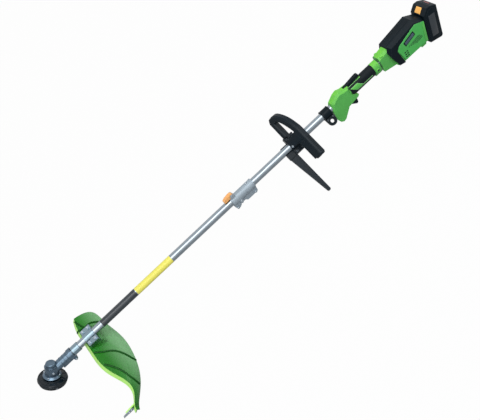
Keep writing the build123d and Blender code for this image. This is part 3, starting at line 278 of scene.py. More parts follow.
class Mottle(Effect):
    """Slow and fine colour variation, as in moulded or handled surfaces."""

    inputs = {"Colour": Socket.COLOUR, "Scale": Socket.VALUE, "Strength": Socket.VALUE}
    outputs = {"Colour": Socket.COLOUR, "Mask": Socket.VALUE}

    @classmethod
    def wire(cls, net: Net, given: bpy.types.NodeOutputs) -> Inputs:
        """Brightens and darkens the colour by noise.

        Args:
            net: The group's nodes.
            given: Sockets that carry the group's inputs.

        Returns:
            The socket of each output.
        """
        noise = net.noise(given["Scale"], detail=6.0)
        spread = net.add("MapRange", {"Value": noise, "From Min": 0.3, "From Max": 0.7, "To Min": -1.0})
        amount = net.reckon("MULTIPLY_ADD", spread.outputs["Result"], given["Strength"], 1.0)
        shade = net.add("VectorMath", {0: given["Colour"], "Scale": amount}, operation="SCALE")
        return {"Colour": shade.outputs["Vector"], "Mask": noise}


class Grain(Effect):
    """Fine moulded or cast grain, as a height."""

    inputs = {"Scale": Socket.VALUE, "Stretch": Socket.VECTOR}
    outputs = {"Height": Socket.VALUE}

    @classmethod
    def wire(cls, net: Net, given: bpy.types.NodeOutputs) -> Inputs:
        """Stretches fine noise along the piece's axes.

        Args:
            net: The group's nodes.
            given: Sockets that carry the group's inputs.

        Returns:
            The socket of each output.
        """
        where = net.add("TexCoord").outputs["Object"]
        stretch = net.add("VectorMath", {0: where, 1: given["Stretch"]}, operation="MULTIPLY")
        return {"Height": net.noise(given["Scale"], detail=3.0, where=stretch.outputs["Vector"])}


class Edges(Effect):
    """Rounded edges, turned paler where hands and grass rub them; where this is set high, that paler colour
    is also a painted highlight on lit edges.
    """

    inputs = {"Colour": Socket.COLOUR, "Worn": Socket.COLOUR, "Radius": Socket.VALUE, "Wear": Socket.VALUE}
    outputs = {"Colour": Socket.COLOUR, "Normal": Socket.VECTOR}

    @classmethod
    def wire(cls, net: Net, given: bpy.types.NodeOutputs) -> Inputs:
        """Rounds the normal at edges, and pales the colour in patches where it turns, for rubbing and for
        painted edge highlight.

        Args:
            net: The group's nodes.
            given: Sockets that carry the group's inputs.

        Returns:
            The socket of each output.
        """
        flat = net.add("NewGeometry").outputs["Normal"]
        rounded = net.add("Bevel", {"Radius": given["Radius"]}).outputs["Normal"]
        turn = net.add("VectorMath", {0: flat, 1: rounded}, operation="DOT_PRODUCT").outputs["Value"]
        edge = net.add("MapRange", {"Value": turn, "From Min": 0.99, "From Max": 0.8}).outputs["Result"]
        rubbed_and_lit = net.reckon("MULTIPLY", edge, net.noise(scale=90.0, detail=5.0))
        amount = net.add("Math", {0: rubbed_and_lit, 1: given["Wear"]}, operation="MULTIPLY", use_clamp=True)
        return {"Colour": net.blend(amount.outputs[0], given["Colour"], given["Worn"]), "Normal": rounded}


class Dust(Effect):
    """What lands on faces turned upwards: thin dust, and on the green mouldings a painted highlight, a
    lighter and yellower top where the lamp falls.
    """

    inputs = {"Colour": Socket.COLOUR, "Settled": Socket.COLOUR, "Amount": Socket.VALUE}
    outputs = {"Colour": Socket.COLOUR}

    @classmethod
    def wire(cls, net: Net, given: bpy.types.NodeOutputs) -> Inputs:
        """Mixes the colour of dust and painted top light in by the face's slope, in patches.

        Args:
            net: The group's nodes.
            given: Sockets that carry the group's inputs.

        Returns:
            The socket of each output.
        """
        normal = net.add("NewGeometry").outputs["Normal"]
        rise = net.add("SeparateXYZ", {"Vector": normal}).outputs["Z"]
        upward = net.add("MapRange", {"Value": rise, "From Min": 0.2}).outputs["Result"]
        patches = net.reckon("MULTIPLY", upward, net.noise(scale=120.0, detail=8.0))
        amount = net.reckon("MULTIPLY", patches, given["Amount"])
        return {"Colour": net.blend(amount, given["Colour"], given["Settled"])}


@dataclass(frozen=True)
class Finish:
    """A surface finish: its colour with mottle, paler edges from rubbing and painted edge highlight, dust and
    painted top light, its gloss, and its grain.

    Attributes:
        name: Name of the material.
        colour: Screen colour, 0 to 255.
        roughness: Roughness at the low and the high end of the mottle.
        metallic: 1 for bare metal.
        coat: Weight of a clear gloss coat.
        specular: Strength of the reflection of a surface that is not metal.
        mottle_scale: Patches per metre of the slow colour variation.
        mottle: Strength of that variation.
        grain_scale: Grains per metre.
        grain_stretch: Stretch of the grain along the three axes.
        grain_depth: Height of the grain, in metres.
        dust: Amount of dust on upward faces, and on the green mouldings of painted light on their tops.
        settled: Screen colour of that dust and of that painted light.
        edge: Radius of the rounded edges, in metres.
        wear: How far the edges turn towards a paler colour: rubbing, and on the black mouldings also a
            painted highlight on lit edges.
    """

    name: str
    colour: Screen
    roughness: Point2 = (0.38, 0.5)
    metallic: float = 0.0
    coat: float = 0.0
    specular: float = 0.5
    mottle_scale: float = 30.0
    mottle: float = 0.06
    grain_scale: float = 1400.0
    grain_stretch: Point3 = (1.0, 1.0, 1.0)
    grain_depth: float = 0.00004
    dust: float = 0.03
    settled: Screen = (196, 196, 186)
    edge: float = 0.0012
    wear: float = 0.45

    def material(self) -> bpy.types.Material:
        """Builds the material, or returns it if it exists.

        Returns:
            The node material.
        """
        if self.name in bpy.data.materials:
            return bpy.data.materials[self.name]
        material = bpy.data.materials.new(self.name)
        material.use_nodes = True
        net = Net(material.node_tree)
        mottle = net.effect(Mottle, {"Colour": self.base(net), "Scale": self.mottle_scale,
                                     "Strength": self.mottle})
        edges = net.effect(Edges, {"Colour": mottle.outputs["Colour"], "Worn": linear(*self.worn()),
                                   "Radius": self.edge, "Wear": self.wear})
        dust = net.effect(Dust, {"Colour": edges.outputs["Colour"], "Settled": linear(*self.settled),
                                 "Amount": self.dust})
        low, high = self.roughness
        rough = net.add("MapRange", {"Value": mottle.outputs["Mask"], "To Min": low, "To Max": high})
        grain = net.effect(Grain, {"Scale": self.grain_scale, "Stretch": self.grain_stretch})
        bump = net.add("Bump", {"Distance": self.grain_depth, "Height": grain.outputs["Height"],
                                "Normal": edges.outputs["Normal"]})
        net.feed(net.tree.nodes["Principled BSDF"],
                 {**self.plain(), "Base Color": dust.outputs["Colour"], "Roughness": rough.outputs["Result"],
                  "Normal": bump.outputs["Normal"]})
        return material

    def base(self, net: Net) -> object:
        """Colour under the mottle, as a plain colour here."""
        return linear(*self.colour)

    def worn(self) -> Screen:
        """Paler colour of edges, for rubbing and for painted highlight: a share of the finish's own colour
        over a grey.
        """
        grey, own = 70, 0.68
        return tuple(round(grey + own * share) for share in self.colour)

    def plain(self) -> Inputs:
        """Values of the shader that are the same all over the surface."""
        return {"Metallic": self.metallic, "Coat Weight": self.coat, "Specular IOR Level": self.specular}

    def dress(self, *pieces: bpy.types.Object) -> None:
        """Gives pieces this finish as their only material.

        Args:
            pieces: Objects to dress.
        """
        for piece in pieces:
            piece.data.materials.clear()
            piece.data.materials.append(self.material())


@dataclass(frozen=True)
class FadedFinish(Finish):
    """Finish whose colour changes from front to back, and which may let light through.

    Attributes:
        back_colour: Screen colour at the back.
        fade: Where the back's colour starts and where it is full, along X in metres.
        transmission: Share of light that passes through.
        refraction: How far passing light is bent.
    """

    back_colour: Screen = (130, 175, 140)
    fade: Point2 = (0.0, 1.0)
    transmission: float = 0.0
    refraction: float = 1.45

    def base(self, net: Net) -> object:
        """Colour under the mottle, fading along X.

        Args:
            net: Nodes of the material.

        Returns:
            The colour's socket.
        """
        where = net.add("TexCoord").outputs["Object"]
        along = net.add("SeparateXYZ", {"Vector": where}).outputs["X"]
        start, full = self.fade
        share = net.add("MapRange", {"Value": along, "From Min": start, "From Max": full},
                        interpolation_type="SMOOTHSTEP")
        return net.blend(share.outputs["Result"], linear(*self.colour), linear(*self.back_colour))

    def plain(self) -> Inputs:
        """Values of the shader that are the same all over, with those of passing light."""
        return {**super().plain(), "Transmission Weight": self.transmission, "IOR": self.refraction}


class Finishes:
    """The finishes of the tool."""

    TUBE = Finish("DrawnTube", (150, 160, 168), (0.16, 0.26), 1.0, mottle=0.05, grain_scale=900.0,
                  grain_stretch=(0.02, 1.0, 1.0), grain_depth=0.000003, dust=0.0)
    STEEL = Finish("PlatedSteel", (176, 186, 194), (0.2, 0.34), 1.0, mottle=0.08, grain_scale=700.0,
                   grain_depth=0.00001, dust=0.0)
    BLUED = Finish("BluedSteel", (52, 58, 64), (0.3, 0.42), 0.8, mottle=0.1, grain_depth=0.00001, dust=0.0)
    SCREWS = FadedFinish("SmallScrews", (176, 186, 194), (0.25, 0.36), 0.9, mottle=0.08, grain_depth=0.00001,
                         dust=0.0, back_colour=(52, 58, 64), fade=(-0.3, 0.3))
    CAST = Finish("TumbledCasting", (150, 163, 173), (0.45, 0.58), 0.35, specular=0.4, mottle=0.08,
                  grain_scale=500.0, grain_depth=0.000012, dust=0.0)
    CLAMP = Finish("PolishedCasting", (132, 152, 163), (0.2, 0.32), 1.0, mottle=0.08, grain_scale=500.0,
                   grain_depth=0.00001, dust=0.0)
    CASE = Finish("GreyCasting", (92, 110, 125), (0.18, 0.3), 0.9, mottle=0.15, grain_scale=600.0,
                  grain_depth=0.00002, dust=0.0)
    # On the black mouldings and the loop the paler edges are set high: partly rubbing, partly a painted
    # highlight on lit edges.
    BLACK = Finish("BlackMoulding", (10, 22, 29), (0.3, 0.42), specular=0.1, mottle=0.14, grain_depth=0.00002,
                   dust=0.006, edge=0.002, wear=0.7)
    LOOP = Finish("LoopBlack", (8, 22, 31), (0.26, 0.38), specular=0.16, mottle=0.14, grain_depth=0.00002,
                  dust=0.003, edge=0.003, wear=0.55)
    SPOOL = Finish("SpoolBlack", (8, 20, 28), (0.1, 0.18), specular=0.3, mottle=0.12, grain_depth=0.00001,
                   dust=0.004)
    RUBBER = Finish("GripRubber", (9, 19, 24), (0.46, 0.6), specular=0.15, mottle=0.15, grain_scale=2200.0,
                    dust=0.006)
    # The lighter, yellower colour on the upward faces of the green mouldings is a painted highlight that
    # stands for the lamp on their tops.
    GREEN = Finish("GreenMoulding", (84, 173, 80), (0.3, 0.42), specular=0.3, grain_depth=0.00001, dust=1.9,
                   settled=(110, 200, 66))
    PANEL = Finish("PanelGreen", (72, 174, 82), (0.34, 0.46), specular=0.3, grain_depth=0.00001, dust=0.0)
    LIME = Finish("LimeRim", (186, 244, 124), (0.3, 0.4), mottle=0.05, dust=0.0)
    PALE = Finish("PaleGreenTrim", (126, 196, 118), (0.3, 0.4), mottle=0.05, dust=0.0)
    RIB = Finish("DarkGreenRib", (6, 74, 10), (0.25, 0.4), specular=0.15, mottle=0.1, dust=0.0, wear=0.1)
    ORANGE = Finish("OrangeMoulding", (251, 188, 96), (0.32, 0.45), mottle=0.05, dust=0.0)
    AMBER = Finish("LeverOrange", (240, 176, 108), (0.35, 0.5), dust=0.0)
    DARK_FILM = Finish("DarkFilm", (40, 47, 53), (0.24, 0.34), mottle=0.08, grain_depth=0.00001, dust=0.0)
    YELLOW_FILM = Finish("YellowFilm", (226, 219, 98), (0.3, 0.4), specular=0.4, mottle=0.04,
                         grain_depth=0.00001, dust=0.0)
    NYLON = Finish("NylonLine", (206, 78, 36), (0.25, 0.4), mottle=0.1)
    IRON = Finish("MotorIron", (96, 82, 70), (0.4, 0.6), 0.6, mottle=0.2)
    BOARD = Finish("BoardLacquer", (24, 92, 54), (0.25, 0.4), mottle=0.15)
    CELL = Finish("CellWrap", (64, 112, 170), (0.2, 0.35), mottle=0.08)
    LENS = Finish("GaugeLens", (170, 60, 58), (0.12, 0.2), coat=0.3, mottle=0.05, grain_depth=0.00001,
                  dust=0.0)
    GUARD = FadedFinish("TintedGuard", (24, 130, 8), (0.1, 0.2), specular=0.3, mottle=0.1, mottle_scale=9.0,
                        grain_depth=0.00001, dust=0.0, back_colour=(142, 198, 144), fade=(-0.495, -0.405),
                        transmission=0.5)


NODE_FINISHES: dict[Finish, tuple[str, ...]] = {
    Finishes.TUBE: ("lower_tube", "upper_tube"),
    Finishes.STEEL: ("lower_drive_shaft", "upper_drive_shaft", "shaft_coupler", "pinion", "bevel_gear",
                     "spindle", "spindle_bearings", "shaft_bearings", "guard_bolts", "coupling_bolts",
                     "line_cutter", "bump_spring", "trigger_spring", "pivot_pins", "line_eyelets"),
    Finishes.BLUED: ("handle_bolts", "housing_screws"),
    Finishes.SCREWS: ("m5_screws",),
    Finishes.CAST: ("coupling_body",),
    Finishes.CLAMP: ("guard_clamp_upper", "guard_clamp_lower", "tube_collar"),
    Finishes.CASE: ("gear_case", "gear_case_cap"),
    Finishes.LOOP: ("loop_handle", "barrier_clamp"),
    Finishes.BLACK: ("trigger", "lock_lever", "housing_cover", "battery_case", "battery_dock",
                     "switch_module", "cooling_fan", "strap_hanger", "panel_plates"),
    Finishes.SPOOL: ("head_cover", "head_base", "line_spool", "bump_knob"),
    Finishes.RUBBER: ("grip_sleeve", "switch_lead", "shaft_bushes"),
    Finishes.GREEN: ("handle_left", "handle_right", "housing_left", "housing_right"),
    Finishes.PANEL: ("side_panel_left", "side_panel_right"),
    Finishes.ORANGE: ("release_button",),
    Finishes.AMBER: ("coupling_lever",),
    Finishes.DARK_FILM: ("dark_band",),
    Finishes.YELLOW_FILM: ("yellow_band",),
    Finishes.NYLON: ("line_winding",),
    Finishes.IRON: ("motor_stator", "motor_rotor"),
    Finishes.BOARD: ("control_board",),
    Finishes.CELL: ("battery_cells",),
    Finishes.GUARD: ("guard",),
}


def placed(origin: Vector, across: Vector, out: Vector) -> Matrix:
    """Place of a piece that is made flat, with its first axis across and its third axis out.

    Args:
        origin: Where its own origin goes, in millimetres.
        across: Direction of its first axis.
        out: Direction of its third axis, square to the first.

    Returns:
        The matrix from the piece's own axes, in metres.
    """
    first, third = across.normalized(), out.normalized()
    turn = Matrix((first, third.cross(first), third)).transposed().to_4x4()
    return Matrix.Translation(origin * MM) @ turn


def moved(place: Matrix, x: float = 0.0, y: float = 0.0, z: float = 0.0) -> Matrix:
    """Moves a place along its own axes, by millimetres."""
    return place @ Matrix.Translation(Vector((x, y, z)) * MM)


def within(place: Matrix, x: float, y: float, z: float) -> Vector:
    """Turns a point in a place's own axes into the tool's axes, in millimetres."""
    return place @ (Vector((x, y, z)) * MM) / MM


def flank(side: Side, depth: float) -> Matrix:
    """Place of a flat piece on a flank at a depth from the tool's middle, its second axis pointing up."""
    out = RIGHT * side.value
    return placed(out * depth, AFT * -side.value, out)


def on_flank(side: Side, outline: Outline) -> Outline:
    """Turns points in X and Z into the flank's own axes."""
    return [(-side.value * x, z) for x, z in outline]


def on_tube(along: float) -> Matrix:
    """Place on the tube's axis, along X, of a piece whose third axis points to the user's end."""
    return placed(AFT * along, RIGHT, AFT)


def rolled(roll: float) -> tuple[Vector, Vector]:
    """Directions to the left and up of a piece that is turned about the tube, by degrees."""
    turn = math.radians(roll)
    return LEFT * math.cos(turn) - UP * math.sin(turn), LEFT * math.sin(turn) + UP * math.cos(turn)


def rectangle(width: float, height: float) -> Outline:
    """Outline of a rectangle about its middle."""
    w, h = width / 2, height / 2
    return [(-w, -h), (w, -h), (w, h), (-w, h)]


class Bench:
    """Makes pieces with Blender's own tools and hands them to the frame.

    Attributes:
        merge: Points nearer than this are merged, in metres.
        weld: The same at the seam of a turned shape.
        smooth: Edges that turn less than this are shaded smooth, in radians.
        patch: Faces along and up an inlay before it is cut to its outline.
        clear: Distance from the tool's middle from which an inlay is laid on its flank, in millimetres.
    """

    merge: ClassVar[float] = 0.002 * MM
    weld: ClassVar[float] = 0.01 * MM
    smooth: ClassVar[float] = math.radians(35.0)
    patch: ClassVar[tuple[int, int]] = (40, 16)
    clear: ClassVar[float] = 60.0

    @staticmethod
    def only(piece: bpy.types.Object) -> None:
        """Selects one piece alone and makes it active.

        Args:
            piece: The piece.
        """
        bpy.ops.object.select_all(action="DESELECT")
        piece.select_set(True)
        bpy.context.view_layer.objects.active = piece

    @classmethod
    def close(cls, piece: bpy.types.Object) -> bpy.types.Object:
        """Merges doubled points and turns all faces outwards.

        Args:
            piece: A mesh piece.

        Returns:
            The same piece.
        """
        cls.only(piece)
        bpy.ops.object.mode_set(mode="EDIT")
        bpy.ops.mesh.select_all(action="SELECT")
        bpy.ops.mesh.remove_doubles(threshold=cls.merge)
        bpy.ops.mesh.normals_make_consistent(inside=False)
        bpy.ops.object.mode_set(mode="OBJECT")
        return piece

    @classmethod
    def settle(cls, piece: bpy.types.Object, place: Matrix) -> bpy.types.Object:
        """Moves a piece to its place and puts the place into its mesh.

        Args:
            piece: A mesh piece at the origin.
            place: Its place.

        Returns:
            The same piece.
        """
        cls.only(piece)
        piece.matrix_world = place
        bpy.ops.object.transform_apply(location=True, rotation=True, scale=True)
        return piece

    @classmethod
    def from_curve(cls, name: str, curve: bpy.types.Curve) -> bpy.types.Object:
        """Turns a curve into a mesh piece.

        Args:
            name: Name of the piece.
            curve: The curve.

        Returns:
            The mesh piece.
        """
        piece = bpy.data.objects.new(name, curve)
        bpy.context.scene.collection.objects.link(piece)
        cls.only(piece)
        bpy.ops.object.convert(target="MESH")
        return bpy.context.object

    @staticmethod
    def line(name: str, points: list[Vector], closed: bool) -> bpy.types.Curve:
        """Draws a bent line of straight runs.

        Args:
            name: Name of the curve.
            points: Its points, in millimetres.
            closed: Whether it joins up.

        Returns:
            The curve.
        """
        curve = bpy.data.curves.new(name, "CURVE")
        curve.dimensions = "3D"
        spline = curve.splines.new("POLY")
        spline.points.add(len(points) - 1)
        for spot, point in zip(spline.points, points):
            spot.co = (*(point * MM), 1.0)
        spline.use_cyclic_u = closed
        return curve

    @classmethod
    def plate(cls, name: str, outline: Outline, thick: float, edge: float, place: Matrix) -> bpy.types.Object:
        """Makes a flat plate with eased edges, standing on its place.

        Args:
            name: Name of the piece.
            outline: Its outline, in millimetres.
            thick: Its thickness.
            edge: Size of its eased edges.
            place: Where it stands.

        Returns:
            The piece.
        """
        curve = cls.line(name, [Vector((x, y, 0.0)) for x, y in outline], True)
        curve.dimensions = "2D"
        curve.fill_mode = "BOTH"
        curve.extrude = (thick / 2 - edge) * MM
        curve.bevel_depth = edge * MM
        curve.bevel_resolution = 1
        curve.offset = -edge * MM
        return cls.settle(cls.close(cls.from_curve(name, curve)), moved(place, z=thick / 2))

    @classmethod
    def bead(cls, name: str, points: list[Vector], radius: float, closed: bool = False) -> bpy.types.Object:
        """Makes a round bead along a line.

        Args:
            name: Name of the piece.
            points: Points of the line, in millimetres.
            radius: Radius of the bead.
            closed: Whether the line joins up.

        Returns:
            The piece.
        """
        curve = cls.line(name, points, closed)
        curve.bevel_depth = radius * MM
        curve.bevel_resolution = 2
        curve.use_fill_caps = True
        return cls.close(cls.from_curve(name, curve))

    @classmethod
    def turned(cls, name: str, profile: Outline, place: Matrix, steps: int = 40) -> bpy.types.Object:
        """Turns a profile about the third axis of its place.

        Args:
            name: Name of the piece.
            profile: Radius and height of each point, in millimetres. A profile off the axis joins up.
            place: Where the axis stands.
            steps: Sides of the turned shape.

        Returns:
            The piece.
        """
        ring = profile[0][0] > 0.0
        piece = cls.from_curve(name, cls.line(name, [Vector((r, 0.0, z)) for r, z in profile], ring))
        screw = piece.modifiers.new("Turn", "SCREW")
        screw.steps = screw.render_steps = steps
        screw.use_merge_vertices = True
        screw.merge_threshold = cls.weld
        cls.only(piece)
        bpy.ops.object.modifier_apply(modifier=screw.name)
        return cls.settle(cls.close(piece), place)

    @classmethod
    def screw(cls, name: str, radius: float, height: float, place: Matrix) -> bpy.types.Object:
        """Makes a round screw head with a sunk socket.

        Args:
            name: Name of the piece.
            radius: Radius of the head.
            height: Height of the head.
            place: Where it stands.

        Returns:
            The piece.
        """
        ease, socket = radius * 0.16, radius * 0.5
        floor, wall = height * 0.45, height * 0.5
        profile = [(0.0, floor), (socket, wall), (socket, height), (radius - ease, height),
                   (radius, height - ease), (radius, 0.0), (0.0, 0.0)]
        return cls.turned(name, profile, place, steps=24)

    @classmethod
    def repeat(cls, piece: bpy.types.Object, moves: list[Matrix]) -> bpy.types.Object:
        """Copies a piece and joins the copies with it into one piece.

        Args:
            piece: The first piece, which stays at its own place.
            moves: Moves of the copies from there, in metres.

        Returns:
            The joined piece.
        """
        copies = []
        for move in moves:
            copy = bpy.data.objects.new(piece.name + "Copy", piece.data.copy())
            copy.data.transform(move)
            bpy.context.scene.collection.objects.link(copy)
            copies.append(copy)
        cls.only(piece)
        for copy in copies:
            copy.select_set(True)
        bpy.ops.object.join()
        return piece

    @classmethod
    def row(cls, piece: bpy.types.Object, step: Vector, count: int) -> bpy.types.Object:
        """Repeats a piece at equal steps of millimetres, and returns the joined row."""
        return cls.repeat(piece, [Matrix.Translation(step * MM * index) for index in range(1, count)])

    @classmethod
    def inlay(cls, name: str, outline: Outline, side: Side, target: bpy.types.Object,
              proud: float) -> bpy.types.Object:
        """Lays a thin convex patch on a curved flank.

        Args:
            name: Name of the piece.
            outline: Its outline in X and Z, in millimetres, turning left as seen with X to the right.
            side: The flank that it lies on.
            target: Piece that carries it.
            proud: Height of the patch.

        Returns:
            The piece.
        """
        low = Vector((min(x for x, _ in outline), min(z for _, z in outline)))
        high = Vector((max(x for x, _ in outline), max(z for _, z in outline)))
        middle, size = (low + high) / 2, (high - low) * MM
        along, up = cls.patch
        bpy.ops.object.select_all(action="DESELECT")
        bpy.ops.mesh.primitive_grid_add(x_subdivisions=along, y_subdivisions=up, size=1.0)
        piece = bpy.context.object
        piece.name = name
        spot = Matrix.Translation(Vector((middle.x, side.value * cls.clear, middle.y)) * MM)
        upright = Matrix.Rotation(math.radians(90.0), 4, "X")
        cls.settle(piece, spot @ upright @ Matrix.Diagonal((size.x, size.y, 1.0, 1.0)))
        bpy.ops.object.mode_set(mode="EDIT")
        for (x0, z0), (x1, z1) in zip(outline, (*outline[1:], outline[0])):
            bpy.ops.mesh.select_all(action="SELECT")
            bpy.ops.mesh.bisect(plane_co=(x0 * MM, 0.0, z0 * MM), plane_no=(z1 - z0, 0.0, x0 - x1),
                                clear_outer=True)
        bpy.ops.object.mode_set(mode="OBJECT")
        wrap = piece.modifiers.new("Wrap", "SHRINKWRAP")
        wrap.wrap_method = "PROJECT"
        wrap.use_project_y = True
        wrap.use_negative_direction = True
        wrap.use_positive_direction = True
        wrap.target = target
        bpy.ops.object.modifier_apply(modifier=wrap.name)
        thick = piece.modifiers.new("Thick", "SOLIDIFY")
        thick.thickness = 2 * proud * MM
        thick.offset = 0.0
        bpy.ops.object.modifier_apply(modifier=thick.name)
        return cls.close(piece)

    @classmethod
    def twin(cls, name: str, node: bpy.types.Object) -> bpy.types.Object:
        """Copies a CAD piece, with its triangles merged, to stand for it.

        Args:
            name: Name of the copy.
            node: The CAD piece, which stays as it is.

        Returns:
            The copy.
        """
        piece = bpy.data.objects.new(name, node.data.copy())
        bpy.context.scene.collection.objects.link(piece)
        cls.only(piece)
        bpy.ops.mesh.customdata_custom_splitnormals_clear()
        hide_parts(node.name)
        return cls.close(piece)

    @classmethod
    def hand_over(cls, piece: bpy.types.Object, body: Body, slot: Slot, finish: Finish) -> bpy.types.Object:
        """Smooths and dresses a piece, and ties it to its body.

        Args:
            piece: The piece.
            body: Body that it rides on.
            slot: Material slot of the record; not used.
            finish: Its finish.

        Returns:
            The same piece.
        """
        cls.only(piece)
        bpy.ops.object.shade_smooth_by_angle(angle=cls.smooth)
        finish.dress(piece)
        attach(piece, body.value)
        LOG.info("made %s on %s", piece.name, body.value)
        return piece


@dataclass(frozen=True)
class Ridges:
    """Row of equal round ridges. Its places and ways are in the axes of the piece that carries it.

    Attributes:
        name: Name of the piece that the ridges are joined into.
        middle: Middle of the first ridge.
        half: Way from its middle to its end.
        radius: Its thickness.
        step: Way from one ridge to the next.
        count: How many ridges there are.
    """

    name: str
    middle: Point3
    half: Point3
    radius: float
    step: Point3
    count: int

    def make(self, place: Matrix) -> bpy.types.Object:
        """Makes the row.

        Args:
            place: Place of the piece that carries it.

        Returns:
            The joined row.
        """
        middle, half = Vector(self.middle), Vector(self.half)
        ends = [within(place, *(middle - half)), within(place, *(middle + half))]
        step = place.to_3x3() @ Vector(self.step)
        return Bench.row(Bench.bead(self.name, ends, self.radius), step, self.count)


@dataclass
class CuttingHead:
    """Gear case and trimmer head, on a spindle that leans from the tube.

    Heights run along the spindle, from where it crosses the tube's axis.

    Attributes:
        place: Where the spindle crosses the tube's axis, along X.
        tilt: Lean of the spindle, in degrees.
        ridges: Name, radius, height and thickness of each ridge round the cover.
        rib: Radius and height of both ends of a rib on the cover's slope.
        rib_radius: Its thickness.
        rib_count: How many ribs there are.
        grip: Radius and height of both ends of a grip on the cover's rim.
        grip_radius: Its thickness.
        grip_count: How many grips there are.
        knob_ring: Radius, height and thickness of the ring on the bump knob.
        cap_ring: The same for the ring under the case's cap.
        flange: Radius and height of the bolts' seats on the case's flange.
        flange_turn: Turn of the first bolt about the spindle, in degrees.
        bolt: Radius and height of a bolt's head.
        bolt_count: How many bolts there are.
        plug_seat: Distance from the spindle and height of the grease plug's seat.
        plug: Radius and height of the plug.
        neck: Radius of the case's neck and thickness of its raised bands.
        bands: Where those bands stand, along X.
        spring_top: Height of the spring's fixed upper end; not used.
        spring_keep: Share of the spring's length that is left when the knob is pressed home; not used.
    """

    place: float = -661.5
    tilt: float = 35.3
    ridges: tuple[tuple[str, float, float, float], ...] = (
        ("CoverInnerRidge", 34.0, -23.6, 1.8),
        ("CoverOuterRidge", 49.5, -26.8, 2.6),
        ("CoverRimRidge", 53.0, -32.5, 1.2))
    rib: Outline = ((34.0, -23.6), (47.0, -26.0))
    rib_radius: float = 1.6
    rib_count: int = 8
    grip: Outline = ((53.0, -29.5), (53.0, -35.5))
    grip_radius: float = 1.2
    grip_count: int = 20
    knob_ring: Point3 = (8.0, -60.0, 0.9)
    cap_ring: Point3 = (21.5, 25.5, 0.9)
    flange: Point2 = (28.8, -12.0)
    flange_turn: float = 50.0
    bolt: Point2 = (3.6, 5.2)
    bolt_count: int = 4
    plug_seat: Point2 = (23.2, 8.0)
    plug: Point2 = (4.6, 3.2)
    neck: Point2 = (17.5, 1.1)
    bands: tuple[float, ...] = (-612.0, -598.0, -584.0)
    spring_top: float = -25.9
    spring_keep: float = 0.64

    def frame(self) -> Matrix:
        """Place of the spindle's own axes."""
        axis = Matrix.Rotation(math.radians(self.tilt), 3, "Y") @ UP
        return placed(AFT * self.place, RIGHT.cross(axis), axis)

    def spot(self, radius: float, height: float) -> Vector:
        """Point beside the spindle at a radius and a height, in millimetres."""
        return within(self.frame(), radius, 0.0, height)

    def around(self, count: int) -> list[Matrix]:
        """Moves that spread copies evenly about the spindle, without the first.

        Args:
            count: How many pieces there are in all.

        Returns:
            The moves.
        """
        frame = self.frame()
        turns = [index * math.tau / count for index in range(1, count)]
        return [frame @ Matrix.Rotation(turn, 4, "Z") @ frame.inverted() for turn in turns]

    @staticmethod
    def ring(radius: float, height: float, thick: float) -> Outline:
        """Profile of a round ring, from its radius, its middle's height and its section's radius."""
        turns = [math.radians(turn) for turn in range(0, 360, 45)]
        return [(radius + thick * math.cos(turn), height + thick * math.sin(turn)) for turn in turns]

    def build(self, spring: bpy.types.Object) -> None:
        """Makes the head's and the gear case's details, and the spring that the knob presses.

        Args:
            spring: The bump spring's CAD node.
        """
        frame = self.frame()
        coil = Bench.hand_over(Bench.twin("BumpCoil", spring), Body.HEAD, Slot.STEEL, Finishes.STEEL)
        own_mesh(coil)
        for name, *sizes in self.ridges:
            ridge = Bench.turned(name, self.ring(*sizes), frame, steps=72)
            Bench.hand_over(ridge, Body.HEAD, Slot.BLACK, Finishes.SPOOL)
        for name, ends, radius, count in (("CoverRibs", self.rib, self.rib_radius, self.rib_count),
                                          ("RimGrips", self.grip, self.grip_radius, self.grip_count)):
            bead = Bench.bead(name, [self.spot(*end) for end in ends], radius)
            Bench.hand_over(Bench.repeat(bead, self.around(count)), Body.HEAD, Slot.BLACK, Finishes.SPOOL)
        ring = Bench.turned("KnobRing", self.ring(*self.knob_ring), frame)
        Bench.hand_over(ring, Body.SPOOL, Slot.BLACK, Finishes.SPOOL)
        self.build_case(frame)

    def build_case(self, frame: Matrix) -> None:
        """Makes the gear case's bolts, plug, ring and bands.

        Args:
            frame: Place of the spindle's axes.
        """
        radius, height = self.flange
        turn = Matrix.Rotation(math.radians(self.flange_turn), 4, "Z")
        bolts = Bench.screw("FlangeBolts", *self.bolt, moved(frame @ turn, x=radius, z=height))
        Bench.repeat(bolts, self.around(self.bolt_count))
        Bench.hand_over(bolts, Body.TOOL, Slot.STEEL, Finishes.STEEL)
        depth, height = self.plug_seat
        plug = Bench.screw("GreasePlug", *self.plug, placed(self.spot(0.0, height) + LEFT * depth, AFT, LEFT))
        Bench.hand_over(plug, Body.TOOL, Slot.STEEL, Finishes.STEEL)
        ring = Bench.turned("CapRing", self.ring(*self.cap_ring), frame, steps=56)
        Bench.hand_over(ring, Body.TOOL, Slot.CASE, Finishes.CASE)
        radius, thick = self.neck
        section = self.ring(radius, 0.0, thick)
        for index, along in enumerate(self.bands):
            band = Bench.turned(f"NeckBand{index + 1}", section, on_tube(along), steps=48)
            Bench.hand_over(band, Body.TOOL, Slot.CASE, Finishes.CASE)


